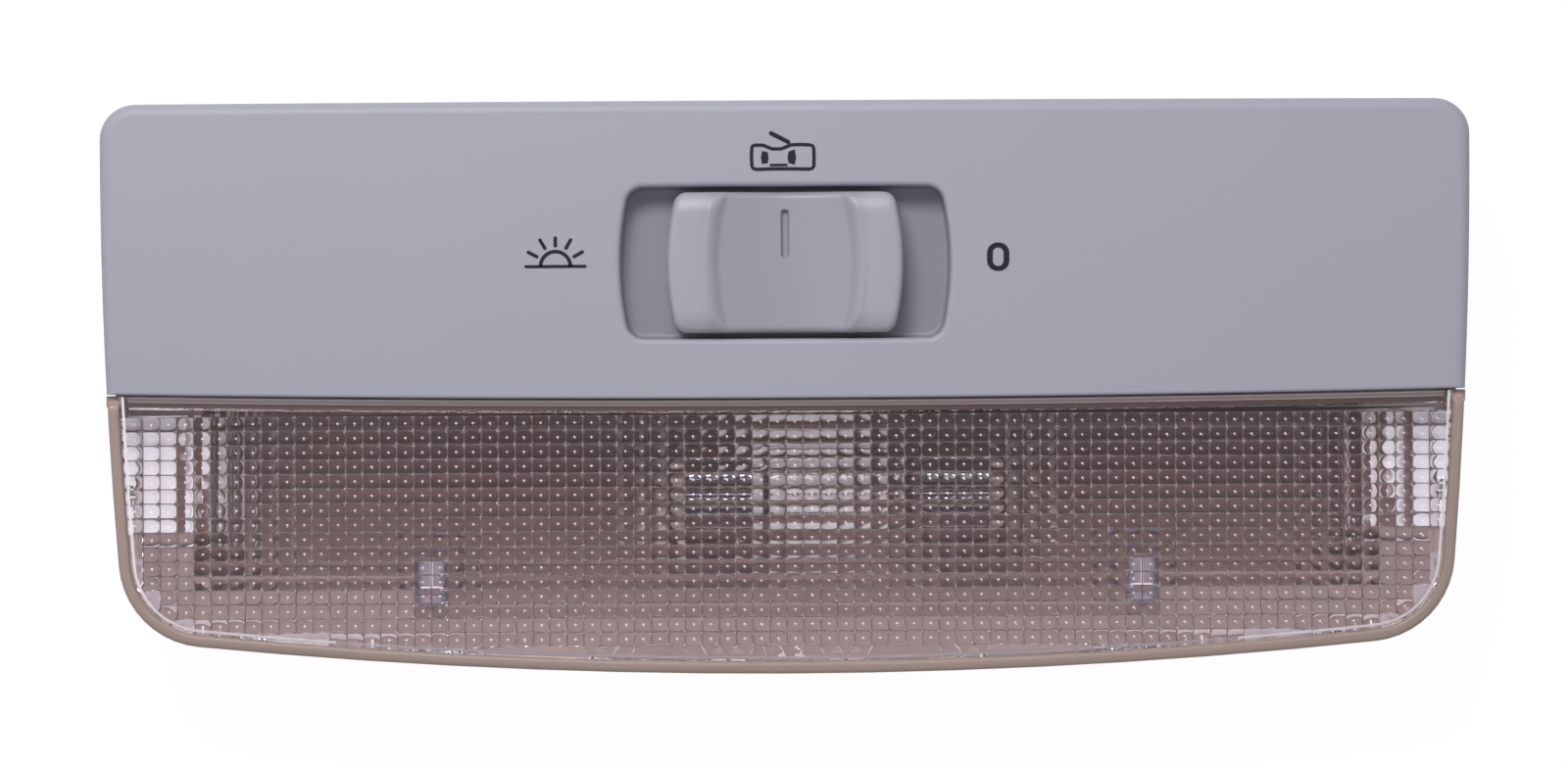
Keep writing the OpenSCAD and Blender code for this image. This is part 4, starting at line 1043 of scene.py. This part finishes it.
def make_pattern(bm):
    """The rows of pillows inside the lens, cut off along its walls. Returns their border."""
    columns, steps = 39, len(CELL_LINES)
    middle_y = CELL_TOP - CELL_ROWS * CELL_H / 2
    half_x, half_y = columns * CELL_W * MM, CELL_ROWS * CELL_H / 2 * MM
    place = Matrix.Translation(Vector((0, middle_y, LENS_INNER_Z)) * MM)
    made = bmesh.ops.create_grid(
        bm,
        x_segments=2 * columns * steps,
        y_segments=CELL_ROWS * steps,
        size=1.0,
        matrix=place @ Matrix.Diagonal((half_x, half_y, 1, 1)),
    )
    outside = []
    margin = LENS_INSET + LENS_WALL + WALL_DRAFT
    for v in made["verts"]:
        column, k = divmod(round(v.co.x / MM / CELL_W * steps), steps)
        row, m = divmod(round((CELL_TOP - v.co.y / MM) / CELL_H * steps), steps)
        u, w = CELL_LINES[k], CELL_LINES[m]
        x, y = (column + u) * CELL_W, CELL_TOP - (row + w) * CELL_H
        if LAMP.depth(x, y) < margin:
            outside.append(v)
            continue
        if abs(abs(x) - LUG_X) < 1.5 and abs(y - LUG_Y) < 2.8:
            z = -CELL_BULGE
        elif whole_cell(column, row, margin):
            z = -CELL_BULGE * (1 - ((2 * u - 1) ** 2 + (2 * w - 1) ** 2) / 2)
        else:
            z = 0
        v.co = Vector((x, y, LENS_INNER_Z + z)) * MM
    kept = set(made["verts"]) - set(outside)
    bmesh.ops.delete(bm, geom=outside, context="VERTS")
    border = {e for v in kept for e in v.link_edges if e.is_boundary}
    for face in {f for v in kept for f in v.link_faces}:
        face.material_index = cell_look(face, margin)
    return list(border)


def make_lens():
    bm = new_mesh()
    gap = JOINT_HALF_GAP

    def level(inset, shift, z):
        return [(x, y, z) for x, y in cut_loop(LENS_INSET + inset, gap + shift, True)]

    def face_level(inset, shift):
        return [(x, y, lens_height(x, y)) for x, y in cut_loop(LENS_INSET + inset, gap + shift, True)]

    low = ring(bm, level(0, 0, LENS_BASE_Z))
    rings = [level(0, 0, LENS_Z - 1.05)]
    rings += [face_level(LENS_ROUND * share, LIP_ROUND * share) for _, share in quarter(8)]
    rings += [face_level(1.02 + 0.02 * k, line) for k, line in enumerate(LIP_LINES)]
    bmesh.ops.contextual_create(bm, geom=climb(bm, low, rings))
    for face in bm.faces:
        face.material_index = face_look(face)

    wall = LENS_WALL + WALL_DRAFT
    half_wall = LENS_WALL / 2
    base = climb(bm, low, [level(half_wall, half_wall, LENS_BASE_Z)])
    # The outer half of the wall's foot is painted white: a painted highlight
    for edge in base:
        for face in edge.link_faces:
            face.material_index = GLINT
    walls = [level(LENS_WALL, LENS_WALL, LENS_BASE_Z), level(wall, wall, LENS_INNER_Z)]
    fill(bm, climb(bm, base, walls) + make_pattern(bm), -1.0)

    # Ends of the lip, over the rim, and the tabs that go under the panel
    for s in (-1, 1):
        outer = LAMP.end_x(LIP_END_Y, RIM_INSET)
        inner = LAMP.end_x(LIP_END_Y, LENS_INSET) + 0.02
        a, b = sorted((s * outer, s * inner))
        y = joint(inner) - gap
        block(bm, a, b, y - LIP_H, y, RIM_Z + 0.1, LIP_Z, 0.12)
    for x in TAB_XS:
        y = joint(x) - gap
        block(bm, x - 4, x + 4, y + 0.01, y + 2.3, FLANGE_Z + 0.3, FLANGE_Z + 1.8, 0.15)
    piece = finish_mesh(
        bm,
        "lens_cap",
        LENS_CLEAR,
        "housing",
        ("lens",),
        sharp=24,
        others=LENS_CLEAR_AND_PAINTED[1:],
    )
    piece.visible_shadow = False


def make_lugs():
    """The two snap lugs under the lens, and thin white strips over them: painted highlights."""
    bm = new_mesh()
    under = LENS_INNER_Z - CELL_BULGE
    for s in (-1, 1):
        x, top = s * LUG_X, under - 0.03
        place = placed(x, -22.7, -90)
        leg(bm, top, hook_z=-3.6, width=2.8, thick=3.0, reach=1.1, place=place)
        block(bm, x - 1.4, x + 1.4, -24.7, -23.55, LUG_FOOT_Z, top, 0.15)
        for side in (-1, 1):
            a, b = sorted((side * 0.9, side * 1.4))
            block(bm, x + a, x + b, -23.6, -22.65, LUG_FOOT_Z, top, 0.1)
    lugs = finish_mesh(bm, "lens_lugs", LENS_LUG, "housing")
    lugs.visible_shadow = False
    # Thin white strips on the lugs, one lengthwise and one across: painted highlights
    bm = new_mesh()
    for s in (-1, 1):
        x, low, high = s * LUG_X, under - 0.06, under - 0.06 + 0.05
        block(bm, x - 0.13, x + 0.13, -22.5, -19.7, low, high)
        block(bm, x - 1.2, x + 1.2, -22.66, -22.46, low, high)
    finish_mesh(bm, "lug_highlights", LENS_GLINT, "housing")


make_panel()
make_knob()
make_signs()
make_lens()
make_lugs()

for node, finish, slot, body in (
    ("back_housing", HOUSING_TAUPE, "housing_plastic", "housing"),
    ("reflector", REFLECTOR_SHEET, "reflector_sheet", "housing"),
    ("bulb_glass", BULB_CLEAR, "bulb_glass", "housing"),
    ("bulb_cap_left", CAP_METAL, "cap_metal", "housing"),
    ("bulb_cap_right", CAP_METAL, "cap_metal", "housing"),
    ("bulb_filament", FILAMENT_WIRE, "filament_wire", "housing"),
    ("supply_strip", CONTACT_BRASS, "contact_brass", "housing"),
    ("common_strip", CONTACT_BRASS, "contact_brass", "housing"),
    ("ground_strip", CONTACT_BRASS, "contact_brass", "housing"),
    ("door_strip", CONTACT_BRASS, "contact_brass", "housing"),
    ("detent_spring", SPRING_STEEL, "spring_steel", "housing"),
    ("switch_slider", INNER_WHITE, "inner_plastic", "switch"),
    ("wiper_contact", CONTACT_BRASS, "contact_brass", "switch"),
    ("switch_cover", INNER_WHITE, "inner_plastic", "housing"),
    ("cover_screws", SCREW_STEEL, "screw_steel", "housing"),
    ("retaining_clip_left", SPRING_STEEL, "spring_steel", "housing"),
    ("retaining_clip_right", SPRING_STEEL, "spring_steel", "housing"),
):
    inside = HOUSING_INSIDE if node == "back_housing" else None
    piece = refined(node, finish, body, inside)
    if node == "bulb_glass":
        piece.visible_shadow = False


# Floor, world, lamps and camera


def make_floor():
    bm = bmesh.new()
    place = Matrix.Translation((0, 0, (REST_Z - 0.02) * MM))
    bmesh.ops.create_grid(bm, x_segments=1, y_segments=1, size=3.0, matrix=place)
    mesh = bpy.data.meshes.new("floor")
    bm.to_mesh(mesh)
    bm.free()
    floor = bpy.data.objects.new("floor", mesh)
    bpy.context.scene.collection.objects.link(floor)
    made, n, shader = material("pale_floor")
    shader.inputs["Base Color"].default_value = (0.9, 0.9, 0.9, 1)
    shader.inputs["Roughness"].default_value = 0.9
    path = n.add("ShaderNodeLightPath")
    seen = n.math("MAXIMUM", path.outputs["Is Camera Ray"], path.outputs["Is Transmission Ray"])
    glow = n.add("ShaderNodeEmission")
    glow.inputs["Color"].default_value = (1, 1, 1, 1)
    glow.inputs["Strength"].default_value = 1.06
    mix = n.add("ShaderNodeMixShader")
    n.join(n.math("MULTIPLY", seen, 0.9), mix.inputs[0])
    n.join(shader.outputs[0], mix.inputs[1])
    n.join(glow.outputs[0], mix.inputs[2])
    n.join(mix.outputs[0], made.node_tree.nodes["Material Output"].inputs["Surface"])
    mesh.materials.append(made)


def make_world():
    """A white surrounding, which mirrors behind the lens see as dark with one bright strip."""
    world = bpy.data.worlds.new("studio")
    bpy.context.scene.world = world
    world.use_nodes = True
    n = Nodes(world.node_tree)
    path = n.add("ShaderNodeLightPath").outputs
    back = world.node_tree.nodes["Background"]
    back.inputs["Color"].default_value = (1, 1, 1, 1)
    lit, seen_more = 0.3, 0.7
    dark, strip_light, strip_edge = 0.08, 2.6, (0.1, 0.16)
    seen = n.math("MAXIMUM", path["Is Camera Ray"], path["Is Glossy Ray"])
    open_air = n.math("ADD", n.math("MULTIPLY", seen, seen_more), lit)
    parts = n.parts(n.add("ShaderNodeTexCoord").outputs["Generated"])
    strip = n.math("SUBTRACT", 1.0, n.ramp(n.math("ABSOLUTE", parts["Y"]), *strip_edge))
    mirrored_there = n.math("MINIMUM", path["Glossy Depth"], 1.0)
    mirrored_there = n.math("MULTIPLY", mirrored_there, path["Is Transmission Ray"])
    streaked = n.math("ADD", n.math("MULTIPLY", strip, strip_light), dark)
    gain = n.math("MULTIPLY", mirrored_there, n.math("SUBTRACT", streaked, open_air))
    n.join(n.math("ADD", open_air, gain), back.inputs["Strength"])


def make_lamp(name, place, size, power):
    """A soft lamp that looks at the part."""
    data = bpy.data.lights.new(name, "AREA")
    data.shape = "RECTANGLE"
    data.size, data.size_y = size
    data.energy = power
    lamp = bpy.data.objects.new(name, data)
    bpy.context.scene.collection.objects.link(lamp)
    lamp.location = place
    lamp.rotation_euler = (-Vector(place)).to_track_quat("-Z", "Y").to_euler()


def make_camera():
    """A long lens straight above, which sees width metres across at the lamp's face."""
    distance, face_z, width, sensor = 0.7, 0.008, 0.1776, 36.0
    data = bpy.data.cameras.new("camera")
    data.sensor_width = sensor
    data.sensor_fit = "HORIZONTAL"
    data.lens = sensor * distance / width
    data.clip_start, data.clip_end = 0.01, 10.0
    camera = bpy.data.objects.new("camera", data)
    bpy.context.scene.collection.objects.link(camera)
    camera.location = (-0.0002, 0.00038, face_z + distance)
    camera.rotation_euler = (0, 0, math.radians(-0.3))
    bpy.context.scene.camera = camera


make_floor()
make_world()
make_lamp("top_softbox", (-0.08, 0.25, 0.34), (0.18, 0.135), 1.05)
make_lamp("left_softbox", (-0.7, 0.05, 0.6), (0.5, 0.7), 1.08)
make_lamp("right_softbox", (0.7, 0.05, 0.6), (0.5, 0.7), 0.85)
make_camera()
bpy.context.scene.view_settings.view_transform = "Standard"
